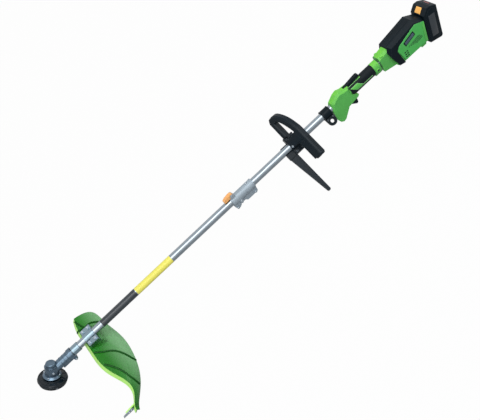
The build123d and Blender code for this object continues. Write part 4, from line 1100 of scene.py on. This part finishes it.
@dataclass
class Guard:
    """See-through guard with a bright front lip and dark stiffening ribs.

    Attributes:
        roll: Turn of the guard about the tube, in degrees.
        lip: Run of the front lip from the roof, along X and up.
        lip_turn: How squarely a face looks out from the lip if it is part of it, at most 1.
        ribs: Routes of the ribs, along X and to the left of the tube.
        rib_radius: Radius of the ribs.
        rib_rise: Height of a rib's middle over the roof, as a share of its radius.
        rib_points: Points of a rib between two points of its route.
        over: Height from which a rib is laid on the roof.
    """

    roll: float = 20.0
    lip: Point2 = (-13.0, -15.0)
    lip_turn: float = 0.75
    ribs: tuple[Outline, ...] = (
        ((-505.0, 107.7), (-487.0, 134.2), (-473.0, 163.3), (-465.5, 194.9), (-463.0, 214.0),
         (-465.0, 231.0)),
        ((-508.0, 50.0), (-483.5, 66.5), (-456.0, 81.0), (-439.0, 103.0), (-428.0, 130.0), (-421.5, 154.0),
         (-424.0, 175.0)),
        ((-516.0, -61.0), (-487.0, -58.0), (-463.7, -64.7), (-446.7, -60.5), (-433.0, -52.8)),
        ((-500.6, -103.0), (-487.0, -60.0)))
    rib_radius: float = 3.5
    rib_rise: float = 0.3
    rib_points: int = 8
    over: float = 60.0

    def laid(self, tree: BVHTree, route: Outline) -> list[Vector]:
        """Lays a route on the roof, bent smoothly from point to point.

        Args:
            tree: Faces of the guard.
            route: Points along X and to the left, in millimetres.

        Returns:
            The points on the roof, in millimetres.
        """
        left, up = rolled(self.roll)
        knots = [Vector((*knot, 0.0)) for knot in (route[0], *route, route[-1])]
        points = []
        # A handle of a sixth of the way between its neighbours bends the route smoothly through each knot.
        for before, start, end, after in zip(knots, knots[1:], knots[2:], knots[3:]):
            first, second = start + (end - before) / 6.0, end - (after - start) / 6.0
            for along, aside, _ in interpolate_bezier(start, first, second, end, self.rib_points):
                above = AFT * along + left * aside + up * self.over
                hit, normal, _, _ = tree.ray_cast(above * MM, -up)
                if hit is not None:
                    points.append(hit / MM + normal * (self.rib_radius * self.rib_rise))
        return points

    def build(self, node: bpy.types.Object) -> None:
        """Makes the dressed shell and its ribs.

        Args:
            node: The guard's CAD node.
        """
        shell = Bench.hand_over(Bench.twin("GuardShell", node), Body.TOOL, Slot.GUARD, Finishes.GUARD)
        shell.data.materials.append(Finishes.LIME.material())
        _, up = rolled(self.roll)
        outwards = (AFT * self.lip[1] - up * self.lip[0]).normalized()
        for face in shell.data.polygons:
            face.material_index = int(face.normal.dot(outwards) > self.lip_turn)
        points = [vertex.co for vertex in shell.data.vertices]
        tree = BVHTree.FromPolygons(points, [face.vertices for face in shell.data.polygons])
        for index, route in enumerate(self.ribs):
            rib = Bench.bead(f"GuardRib{index + 1}", self.laid(tree, route), self.rib_radius)
            Bench.hand_over(rib, Body.TOOL, Slot.GUARD, Finishes.RIB)


@dataclass
class Shaft:
    """Coupling and strap hanger on the tube.

    Attributes:
        coupling_radius: Radius of the coupling.
        coupling_bands: Where its end bands stand, along X.
        coupling_section: Section of such a band, out from that radius and along X.
        pin: Seat of the press pin.
        pin_profile: Radius and height of the pin's points.
        boss: Seat of the side boss.
        boss_profile: Radius and height of the boss's points.
        boss_screw: Radius and height of its screw.
        boss_sink: Height of the screw's seat in the boss.
        ridges: Ridges on the lever.
        hanger_radius: Radius of the strap hanger.
        hanger_rims: Where its end rims stand, along X.
        hanger_section: Section of such a rim, out from that radius and along X.
    """

    coupling_radius: float = 18.0
    coupling_bands: Point2 = (206.5, 300.5)
    coupling_section: Outline = ((-0.5, -3.0), (0.9, -2.4), (0.9, 2.4), (-0.5, 3.0))
    pin: Point3 = (283.0, 0.0, 17.4)
    pin_profile: Outline = ((0.0, 4.4), (3.6, 4.2), (4.6, 3.0), (5.2, 0.0), (0.0, 0.0))
    boss: Point3 = (232.0, -9.0, -13.0)
    boss_profile: Outline = ((0.0, 6.4), (4.6, 6.4), (4.6, 8.0), (6.6, 8.0), (7.4, 7.2), (7.8, 0.0),
                             (0.0, 0.0))
    boss_screw: Point2 = (4.0, 2.6)
    boss_sink: float = 6.3
    ridges: Ridges = Ridges("LeverRidges", middle=(192.0, 0.0, 31.6), half=(0.0, 5.4, 0.0), radius=0.9,
                            step=(4.6, 0.0, 0.8), count=5)
    hanger_radius: float = 19.0
    hanger_rims: Point2 = (639.5, 670.5)
    hanger_section: Outline = ((-0.5, -1.8), (0.8, -1.2), (0.8, 1.2), (-0.5, 1.8))

    @staticmethod
    def band(name: str, radius: float, section: Outline, along: float, slot: Slot, finish: Finish) -> None:
        """Makes a raised band round the tube, of a section out from its radius and along X."""
        profile = [(radius + out, height) for out, height in section]
        Bench.hand_over(Bench.turned(name, profile, on_tube(along), steps=56), Body.TOOL, slot, finish)

    def build(self) -> None:
        """Makes the coupling's, lever's and hanger's details."""
        for name, along in zip(("CouplingLowerBand", "CouplingUpperBand"), self.coupling_bands):
            self.band(name, self.coupling_radius, self.coupling_section, along, Slot.CAST, Finishes.CAST)
        pin = Bench.turned("PressPin", self.pin_profile, placed(Vector(self.pin), AFT, UP), steps=28)
        Bench.hand_over(pin, Body.TOOL, Slot.STEEL, Finishes.STEEL)
        seat = placed(Vector(self.boss), AFT, LEFT)
        boss = Bench.turned("CouplingBoss", self.boss_profile, seat, steps=36)
        Bench.hand_over(boss, Body.TOOL, Slot.CAST, Finishes.CAST)
        screw = Bench.screw("BossScrew", *self.boss_screw, moved(seat, z=self.boss_sink))
        Bench.hand_over(screw, Body.TOOL, Slot.STEEL, Finishes.STEEL)
        Bench.hand_over(self.ridges.make(Matrix()), Body.LEVER, Slot.ORANGE, Finishes.AMBER)
        for name, along in zip(("HangerLowerRim", "HangerUpperRim"), self.hanger_rims):
            self.band(name, self.hanger_radius, self.hanger_section, along, Slot.BLACK, Finishes.BLACK)


@dataclass
class FrontHandle:
    """Loop handle, turned about the tube and leaning back.

    Places on it are across to the left, up the loop and forwards from its middle.

    Attributes:
        along: Place of the handle along X.
        roll: Its turn about the tube, in degrees.
        lift: Height of its middle over the tube's axis.
        lean: Its lean towards the user, in degrees.
        front: Distance of its front face from its middle.
        arm: Corners of the near arm's front face, across and up.
        rim_radius: Thickness of the line round that face.
        ridges: Ridges on the grip.
        screw_seat: Place of the clamp's bright screw.
        screw: Radius and height of that screw.
    """

    along: float = 497.0
    roll: float = 45.0
    lift: float = 20.0
    lean: float = 26.0
    front: float = 11.5
    arm: Outline = ((24.0, 47.0), (95.0, 47.0), (95.0, 86.0), (24.0, 86.0))
    rim_radius: float = 0.9
    ridges: Ridges = Ridges("GripRidges", middle=(24.0, 92.0, 0.0), half=(0.0, 0.0, 6.5), radius=0.9,
                            step=(6.0, 0.0, 0.0), count=12)
    screw_seat: Point3 = (8.0, 4.0, 11.1)
    screw: Point2 = (4.8, 3.4)

    def frame(self) -> Matrix:
        """Finds the place of the loop's own axes.

        Returns:
            The place, whose axes point across to the left, up along the loop, and forwards.
        """
        left, up = rolled(self.roll)
        lean = math.radians(self.lean)
        rise = AFT * math.sin(lean) + up * math.cos(lean)
        return placed(AFT * self.along + up * self.lift, left, left.cross(rise))

    def build(self) -> None:
        """Makes the arm's edge line, the grip's ridges and the clamp's screw."""
        frame = self.frame()
        corners = [within(frame, across, rise, self.front) for across, rise in self.arm]
        rim = Bench.bead("ArmRim", corners, self.rim_radius, closed=True)
        Bench.hand_over(rim, Body.TOOL, Slot.BLACK, Finishes.BLACK)
        Bench.hand_over(self.ridges.make(frame), Body.TOOL, Slot.RUBBER, Finishes.RUBBER)
        screw = Bench.screw("ClampScrew", *self.screw, moved(frame, *self.screw_seat))
        Bench.hand_over(screw, Body.TOOL, Slot.STEEL, Finishes.STEEL)


@dataclass
class RearHandle:
    """Rear grip with its green inlays, its ring and the lock lever.

    Attributes:
        inlay: Outline of the green inlay on each flank, along X and Z.
        border: Outline of the paler border under it.
        tail: Outline of the pale line behind it.
        inlay_proud: Height of the inlay over the grip.
        border_proud: Height of the border and of the line.
        strip: Start and end of the pale strips beside the lock lever, along X.
        strip_place: Half distance and height of those strips.
        strip_radius: Their thickness.
        boss: Seat of the ring's screw boss, along X and Z, and its distance from the middle.
        boss_profile: Radius and height of the boss's points.
        boss_screw: Radius and height of its screw.
        boss_sink: Height of the screw's seat in the boss.
        ridges: Ridges on the lock lever.
        spring_top: Fixed upper end of the trigger's spring, along X and Z; not used.
        spring_keep: Share of the spring's length that is left when the trigger is pulled; not used.
    """

    inlay: Outline = ((791.0, -4.0), (820.0, -4.0), (811.0, 13.3), (773.0, 13.3))
    border: Outline = ((788.5, -6.0), (824.0, -6.0), (813.5, 15.3), (770.5, 15.3))
    tail: Outline = ((820.0, -6.0), (864.0, -6.0), (864.0, -2.6), (820.0, -2.6))
    inlay_proud: float = 0.6
    border_proud: float = 0.35
    strip: Point2 = (757.0, 825.0)
    strip_place: Point2 = (7.9, 21.4)
    strip_radius: float = 1.1
    boss: Point3 = (889.0, -4.4, 19.6)
    boss_profile: Outline = ((0.0, 2.4), (4.8, 2.4), (4.8, 3.8), (7.0, 3.8), (8.2, 2.8), (8.8, 0.0),
                             (0.0, 0.0))
    boss_screw: Point2 = (3.4, 1.2)
    boss_sink: float = 2.3
    ridges: Ridges = Ridges("LockRidges", middle=(786.0, 0.0, 35.0), half=(0.0, 4.6, 0.0), radius=0.9,
                            step=(4.5, 0.0, 0.6), count=7)
    spring_top: Point2 = (764.0, -17.75)
    spring_keep: float = 0.32

    def build(self, sleeve: bpy.types.Object, spring: bpy.types.Object) -> None:
        """Makes the flanks' details and the lever's ridges, and the spring that the trigger presses.

        Args:
            sleeve: The grip sleeve's CAD node, which carries the inlays.
            spring: The trigger spring's CAD node.
        """
        coil = Bench.hand_over(Bench.twin("TriggerCoil", spring), Body.TOOL, Slot.STEEL, Finishes.STEEL)
        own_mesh(coil)
        for side in Side:
            self.build_flank(side, sleeve)
        Bench.hand_over(self.ridges.make(Matrix()), Body.LOCK, Slot.BLACK, Finishes.BLACK)

    def build_flank(self, side: Side, sleeve: bpy.types.Object) -> None:
        """Makes the inlays, the strip and the ring's boss of one flank.

        Args:
            side: The flank.
            sleeve: The grip sleeve's CAD node.
        """
        word = side.name.title()
        for name, outline, proud, finish in (("InlayBorder", self.border, self.border_proud, Finishes.PALE),
                                             ("InlayTail", self.tail, self.border_proud, Finishes.PALE),
                                             ("Inlay", self.inlay, self.inlay_proud, Finishes.GREEN)):
            inlay = Bench.inlay(name + word, outline, side, sleeve, proud)
            Bench.hand_over(inlay, Body.TOOL, Slot.GREEN, finish)
        across, height = self.strip_place
        ends = [Vector((along, side.value * across, height)) for along in self.strip]
        strip = Bench.bead(f"LockStrip{word}", ends, self.strip_radius)
        Bench.hand_over(strip, Body.TOOL, Slot.GREEN, Finishes.PALE)
        along, height, depth = self.boss
        seat = placed(Vector((along, side.value * depth, height)), AFT, RIGHT * side.value)
        boss = Bench.turned(f"RingBoss{word}", self.boss_profile, seat)
        Bench.hand_over(boss, Body.TOOL, Slot.GREEN, Finishes.GREEN)
        screw = Bench.screw(f"RingScrew{word}", *self.boss_screw, moved(seat, z=self.boss_sink))
        Bench.hand_over(screw, Body.TOOL, Slot.STEEL, Finishes.BLUED)


@dataclass
class PowerHead:
    """Motor housing with its dark cover and green side panels.

    Attributes:
        panel_half: Distance of the panels' outer faces from the middle.
        vents: Places of the vent openings along X and along Z.
        vent_size: Width and height of a vent.
        vent_shade_pad: Thickness of the dark pad that is painted shade inside a vent, and its depth in the
            panel.
        grille: Corners of the dotted grille, along X and Z.
        grid: Rows and columns that its dots are picked from.
        pitch: Distance between the dots.
        dot_size: Width and height of a dot.
        dot: Thickness of a dot, and its depth in the panel.
        pad_edge: Eased edge of the vents' shade pads and of the dots, as a share of their thickness.
        rear_strip: Outline of the raised strip along the panel's rear edge, along X and Z.
        strip: Thickness and eased edge of that strip.
        plate: Middle of the bare plate's raised field, along X and Z, and its height over the panel.
        plate_turn: Turn of the plate, in degrees.
        field_size: Width and height of its field.
        field: Thickness and eased edge of the field.
        cover_top: Ends of the cover's two ridges, along X and Z.
        cover_half: Distance of those ridges from the middle.
        cover_radius: Their thickness.
    """

    panel_half: float = 34.05
    vents: tuple[tuple[float, ...], tuple[float, ...]] = ((999.0, 1008.0), (-37.0, -28.0, -19.0))
    vent_size: Point2 = (6.2, 5.7)
    vent_shade_pad: Point2 = (0.8, 1.6)
    grille: Outline = ((1016.0, -9.5), (1058.0, -23.0), (1084.0, -19.0), (1071.0, 2.0))
    grid: tuple[int, int] = (8, 20)
    pitch: float = 4.4
    dot_size: Point2 = (2.7, 2.7)
    dot: Point2 = (0.5, 0.1)
    pad_edge: float = 0.3
    rear_strip: Outline = ((1107.5, 27.5), (1097.0, 20.5), (1084.5, -47.5), (1095.0, -47.5))
    strip: Point2 = (1.6, 0.7)
    plate: Point3 = (1034.0, 15.0, 0.5)
    plate_turn: float = 15.0
    field_size: Point2 = (44.0, 11.0)
    field: Point2 = (0.6, 0.25)
    cover_top: Outline = ((962.0, 47.3), (1068.0, 62.3))
    cover_half: float = 11.0
    cover_radius: float = 1.1

    def dots(self) -> Outline:
        """Places of the grille's dots, in rows along its upper edge.

        Returns:
            The places along X and Z.
        """
        corners = [Vector(corner) for corner in self.grille]
        first, last = corners[0], corners[-1]
        row = (last - first).normalized()
        column = Vector((row.y, -row.x))
        places = []
        rows, columns = self.grid
        for down in range(rows):
            for along in range(columns):
                spot = first + row * (self.pitch * along) + column * (self.pitch * (down + 0.5))
                turns = [(after - before).cross(spot - before)
                         for before, after in zip(corners, corners[1:] + corners[:1])]
                if min(turns) > 0.0:
                    places.append((spot.x, spot.y))
        return places

    def build(self) -> None:
        """Makes the details of both flanks and of the cover."""
        for side in Side:
            word = side.name.title()
            face = flank(side, self.panel_half)
            vents = [(x, z) for x in self.vents[0] for z in self.vents[1]]
            # Each vent gets a dark pad: painted shade in the opening, where the housing behind would lie in
            # shadow.
            self.pads(f"VentFloors{word}", side, vents, self.vent_size, *self.vent_shade_pad)
            self.pads(f"GrilleDots{word}", side, self.dots(), self.dot_size, *self.dot)
            strip = Bench.plate(f"RearStrip{word}", on_flank(side, self.rear_strip), *self.strip, face)
            Bench.hand_over(strip, Body.TOOL, Slot.GREEN, Finishes.GREEN)
            along, height, lift = self.plate
            turn = Matrix.Rotation(math.radians(-side.value * self.plate_turn), 4, "Z")
            middle = moved(face, -side.value * along, height, lift) @ turn
            field = Bench.plate(f"PlateField{word}", rectangle(*self.field_size), *self.field, middle)
            Bench.hand_over(field, Body.TOOL, Slot.FILM, Finishes.CASE)
            ends = [Vector((x, side.value * self.cover_half, z)) for x, z in self.cover_top]
            line = Bench.bead(f"CoverLine{word}", ends, self.cover_radius)
            Bench.hand_over(line, Body.TOOL, Slot.BLACK, Finishes.BLACK)

    def pads(self, name: str, side: Side, places: Outline, size: Point2, thick: float, depth: float) -> None:
        """Makes equal dark pads in a panel.

        Args:
            name: Name of the piece that they are joined into.
            side: The flank.
            places: Their middles along X and Z.
            size: Their width and height.
            thick: Their thickness.
            depth: How deep they start in the panel.
        """
        face = flank(side, self.panel_half)
        first, *others = [moved(face, x, z, -depth) for x, z in on_flank(side, places)]
        pad = Bench.plate(name, rectangle(*size), thick, thick * self.pad_edge, first)
        Bench.repeat(pad, [other @ first.inverted() for other in others])
        Bench.hand_over(pad, Body.TOOL, Slot.BLACK, Finishes.SPOOL)


@dataclass
class Battery:
    """Slide-on battery, leaning with its dock. Places on it are given before leaning.

    Attributes:
        pivot: Point about which the battery leans.
        lean: Its lean, in degrees.
        panel: Outline of the raised panel on each flank, along X and Z.
        panel_half: Distance of the panels' seats from the middle.
        panel_size: Thickness and eased edge of a panel.
        plate: Outline of the bare plate on that panel.
        plate_half: Distance of the plates' seats from the middle.
        plate_size: Thickness and eased edge of a plate.
        gauge: Middle of the gauge window on the rear slope.
        gauge_out: Direction that the slope faces.
        window: Width and height of the window.
        window_size: Thickness and eased edge of the window.
        lamp: Width and height of a lamp.
        lamp_size: Thickness and eased edge of a lamp.
        lamp_place: Place of the first lamp across the window, and its height over the slope.
        lamp_step: Distance between the lamps.
        lamp_count: How many lamps there are.
        ribs: Ribs on the rear face.
        button: Middle of the button's seat.
        button_out: Direction that the button faces.
        ridges: Ridges on the button, in the axes of its seat: across, down its slope and out.
    """

    pivot: Point3 = (1106.0, 0.0, -5.0)
    lean: float = 9.6
    panel: Outline = ((1113.0, 40.0), (1128.0, 57.0), (1140.0, 59.5), (1157.5, 51.5), (1157.5, -58.0),
                      (1153.0, -63.0), (1117.0, -59.5), (1113.0, -55.0))
    panel_half: float = 35.3
    panel_size: Point2 = (1.6, 0.7)
    plate: Outline = ((1123.0, -48.0), (1149.0, -48.0), (1149.0, 36.0), (1123.0, 36.0))
    plate_half: float = 36.8
    plate_size: Point2 = (0.5, 0.2)
    gauge: Point3 = (1152.5, 0.0, 62.0)
    gauge_out: Point3 = (10.0, 0.0, 25.0)
    window: Point2 = (30.0, 10.0)
    window_size: Point2 = (1.2, 0.5)
    lamp: Point2 = (5.0, 4.0)
    lamp_size: Point2 = (0.7, 0.2)
    lamp_place: Point2 = (-9.5, 1.1)
    lamp_step: float = 6.4
    lamp_count: int = 4
    ribs: Ridges = Ridges("RearRibs", middle=(1165.0, 0.0, 20.0), half=(0.0, 26.5, 0.0), radius=1.3,
                          step=(0.0, 0.0, -12.0), count=6)
    button: Point3 = (1115.0, 0.0, 55.75)
    button_out: Point3 = (-21.5, 0.0, 18.0)
    ridges: Ridges = Ridges("ButtonRidges", middle=(0.0, 5.0, 2.4), half=(7.5, 0.0, 0.0), radius=0.8,
                            step=(0.0, -5.0, 0.0), count=3)

    def leaned(self) -> Matrix:
        """Move from the upright battery to the leaning one."""
        pivot = Matrix.Translation(Vector(self.pivot) * MM)
        return pivot @ Matrix.Rotation(math.radians(self.lean), 4, "Y") @ pivot.inverted()

    def build(self) -> None:
        """Makes the battery's panels, gauge and ribs, and the button's ridges."""
        lean = self.leaned()
        for side in Side:
            word = side.name.title()
            panel = Bench.plate(f"BatteryPanel{word}", on_flank(side, self.panel), *self.panel_size,
                                lean @ flank(side, self.panel_half))
            Bench.hand_over(panel, Body.BATTERY, Slot.BLACK, Finishes.BLACK)
            plate = Bench.plate(f"BatteryPlate{word}", on_flank(side, self.plate), *self.plate_size,
                                lean @ flank(side, self.plate_half))
            Bench.hand_over(plate, Body.BATTERY, Slot.FILM, Finishes.DARK_FILM)
        self.build_gauge(lean)
        Bench.hand_over(self.ribs.make(lean), Body.BATTERY, Slot.BLACK, Finishes.BLACK)
        seat = lean @ placed(Vector(self.button), RIGHT, Vector(self.button_out))
        Bench.hand_over(self.ridges.make(seat), Body.BUTTON, Slot.ORANGE, Finishes.ORANGE)

    def build_gauge(self, lean: Matrix) -> None:
        """Makes the gauge's window and lamps.

        Args:
            lean: Move from the upright battery to the leaning one.
        """
        slope = lean @ placed(Vector(self.gauge), RIGHT, Vector(self.gauge_out))
        window = Bench.plate("GaugeWindow", rectangle(*self.window), *self.window_size, slope)
        Bench.hand_over(window, Body.BATTERY, Slot.FILM, Finishes.DARK_FILM)
        across, lift = self.lamp_place
        seat = moved(slope, x=across, z=lift)
        lamp = Bench.plate("GaugeLamps", rectangle(*self.lamp), *self.lamp_size, seat)
        step = slope.to_3x3() @ Vector((self.lamp_step, 0.0, 0.0))
        Bench.hand_over(Bench.row(lamp, step, self.lamp_count), Body.BATTERY, Slot.ORANGE, Finishes.LENS)


@dataclass(frozen=True)
class Lamp:
    """Soft rectangular lamp.

    Attributes:
        name: Its name.
        place: Where it hangs.
        aim: Point that it faces.
        size: Its width and height.
        power: Its power in watts.
    """

    name: str
    place: Point3
    aim: Point3
    size: Point2
    power: float

    def hang(self) -> None:
        """Adds the lamp to the scene."""
        data = bpy.data.lights.new(self.name, "AREA")
        data.shape = "RECTANGLE"
        data.size, data.size_y = self.size
        data.energy = self.power
        lamp = bpy.data.objects.new(self.name, data)
        facing = (Vector(self.aim) - Vector(self.place)).to_track_quat("-Z", "Y")
        lamp.matrix_world = Matrix.Translation(self.place) @ facing.to_matrix().to_4x4()
        bpy.context.scene.collection.objects.link(lamp)


@dataclass
class Studio:
    """Pale floor, soft lamps and the camera of the photograph's view.

    Attributes:
        elevation: Height of the view above the tube's level, in degrees.
        slope: Angle of the tube in the picture, in degrees.
        foot: Place along the tube that the camera looks at squarely.
        distance: Distance from that place to the camera.
        lens: Focal length, in millimetres.
        sensor: Width of the picture behind the lens, in millimetres.
        shift: Sideways and upward shift of the frame.
        reach: How far the camera sees.
        lamps: A softbox above the viewer and two fills.
        ambient: Strength of the even light at the horizon and overhead.
        floor_size: Width of the floor.
        floor_gap: Distance of the floor under the tool.
        floor_colour: Linear colour of the floor.
        floor_roughness: Its roughness.
        floor_glow: Share of white that hides the floor from the camera.
        floor_gloss: Share of that white that a reflection shows.
    """

    elevation: float = 40.0
    slope: float = 43.25
    foot: float = 0.04
    distance: float = 2.730
    lens: float = 58.5
    sensor: float = 36.0
    shift: Point2 = (0.0883, 0.0498)
    reach: float = 50.0
    lamps: tuple[Lamp, ...] = (
        Lamp("TopBox", (0.3, -1.35, 2.35), (0.3, 0.0, 0.0), (3.2, 1.7), 54.0),
        Lamp("LeftFill", (-1.6, -2.2, 1.0), (0.15, 0.0, 0.0), (1.6, 1.6), 12.0),
        Lamp("RearFill", (2.6, -0.8, 0.9), (0.6, 0.0, 0.0), (1.4, 1.4), 8.0))
    ambient: Point2 = (0.3, 0.72)
    floor_size: float = 40.0
    floor_gap: float = 0.002
    floor_colour: Point3 = (0.3, 0.31, 0.32)
    floor_roughness: float = 0.9
    floor_glow: float = 0.98
    floor_gloss: float = 0.3

    def camera(self) -> None:
        """Sets the camera."""
        tilt, turn = math.radians(self.elevation), math.radians(self.slope)
        rise = RIGHT * math.sin(tilt) + UP * math.cos(tilt)
        back = AFT.cross(rise)
        right = AFT * math.cos(turn) - rise * math.sin(turn)
        up = AFT * math.sin(turn) + rise * math.cos(turn)
        place = AFT * self.foot + back * self.distance
        data = bpy.data.cameras.new("PhotoCamera")
        data.lens = self.lens
        data.sensor_width = self.sensor
        data.sensor_fit = "HORIZONTAL"
        data.shift_x, data.shift_y = self.shift
        data.clip_end = self.reach
        camera = bpy.data.objects.new("PhotoCamera", data)
        camera.matrix_world = Matrix.Translation(place) @ Matrix((right, up, back)).transposed().to_4x4()
        bpy.context.scene.collection.objects.link(camera)
        bpy.context.scene.camera = camera

    @staticmethod
    def seen(net: Net, gloss: float) -> bpy.types.NodeSocket:
        """Mask of the rays that show the pale ground: from the camera, through the guard or in a reflection.

        Args:
            net: Nodes of the shader.
            gloss: Share of the pale ground that a reflection shows.

        Returns:
            The mask's socket.
        """
        path = net.add("LightPath").outputs
        direct = net.reckon("MAXIMUM", path["Is Camera Ray"], path["Is Transmission Ray"])
        mirrored = net.reckon("MULTIPLY", path["Is Glossy Ray"], gloss)
        return net.reckon("MAXIMUM", direct, mirrored)

    def light(self) -> None:
        """Lights the tool with the lamps and an even sky."""
        bpy.context.scene.view_settings.view_transform = "Standard"
        for lamp in self.lamps:
            lamp.hang()
        world = bpy.data.worlds.new("PaleStudio")
        bpy.context.scene.world = world
        world.use_nodes = True
        net = Net(world.node_tree)
        where = net.add("TexCoord").outputs["Generated"]
        height = net.add("SeparateXYZ", {"Vector": where}).outputs["Z"]
        low, high = self.ambient
        sky = net.add("MapRange", {"Value": height, "To Min": low, "To Max": high}).outputs["Result"]
        seen = self.seen(net, gloss=1.0)
        strength = net.add("Mix", {"Factor": seen, "A": sky, "B": 1.0}).outputs["Result"]
        net.feed(net.tree.nodes["Background"], {"Color": linear(255, 255, 255), "Strength": strength})

    def floor(self, lowest: float) -> None:
        """Lays the pale floor.

        Args:
            lowest: Height of the tool's lowest point.
        """
        bpy.ops.object.select_all(action="DESELECT")
        bpy.ops.mesh.primitive_plane_add(size=self.floor_size, location=(0.0, 0.0, lowest - self.floor_gap))
        floor = bpy.context.object
        floor.name = "PaleFloor"
        material = bpy.data.materials.new("PaleFloor")
        material.use_nodes = True
        net = Net(material.node_tree)
        shader = net.tree.nodes["Principled BSDF"]
        net.feed(shader, {"Base Color": (*self.floor_colour, 1.0), "Roughness": self.floor_roughness})
        share = net.reckon("MULTIPLY", self.seen(net, self.floor_gloss), self.floor_glow)
        glow = net.add("Emission").outputs["Emission"]
        mix = net.add("MixShader", {"Fac": share, 1: shader.outputs["BSDF"], 2: glow})
        net.feed(net.tree.nodes["Material Output"], {"Surface": mix.outputs["Shader"]})
        floor.data.materials.append(material)
        floor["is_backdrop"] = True


def main() -> None:
    """Dresses every sub-assembly and sets up the studio."""
    logging.basicConfig(level=logging.INFO, format="%(name)s: %(message)s")
    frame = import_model()
    cad_low, cad_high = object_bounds()
    nodes = frame["nodes"]
    for finish, names in NODE_FINISHES.items():
        finish.dress(*(nodes[name] for name in names))
    CuttingHead().build(nodes["bump_spring"])
    Guard().build(nodes["guard"])
    Shaft().build()
    FrontHandle().build()
    RearHandle().build(nodes["grip_sleeve"], nodes["trigger_spring"])
    PowerHead().build()
    Battery().build()
    studio = Studio()
    studio.camera()
    studio.light()
    studio.floor(cad_low[2])


if __name__ == "__main__":
    main()
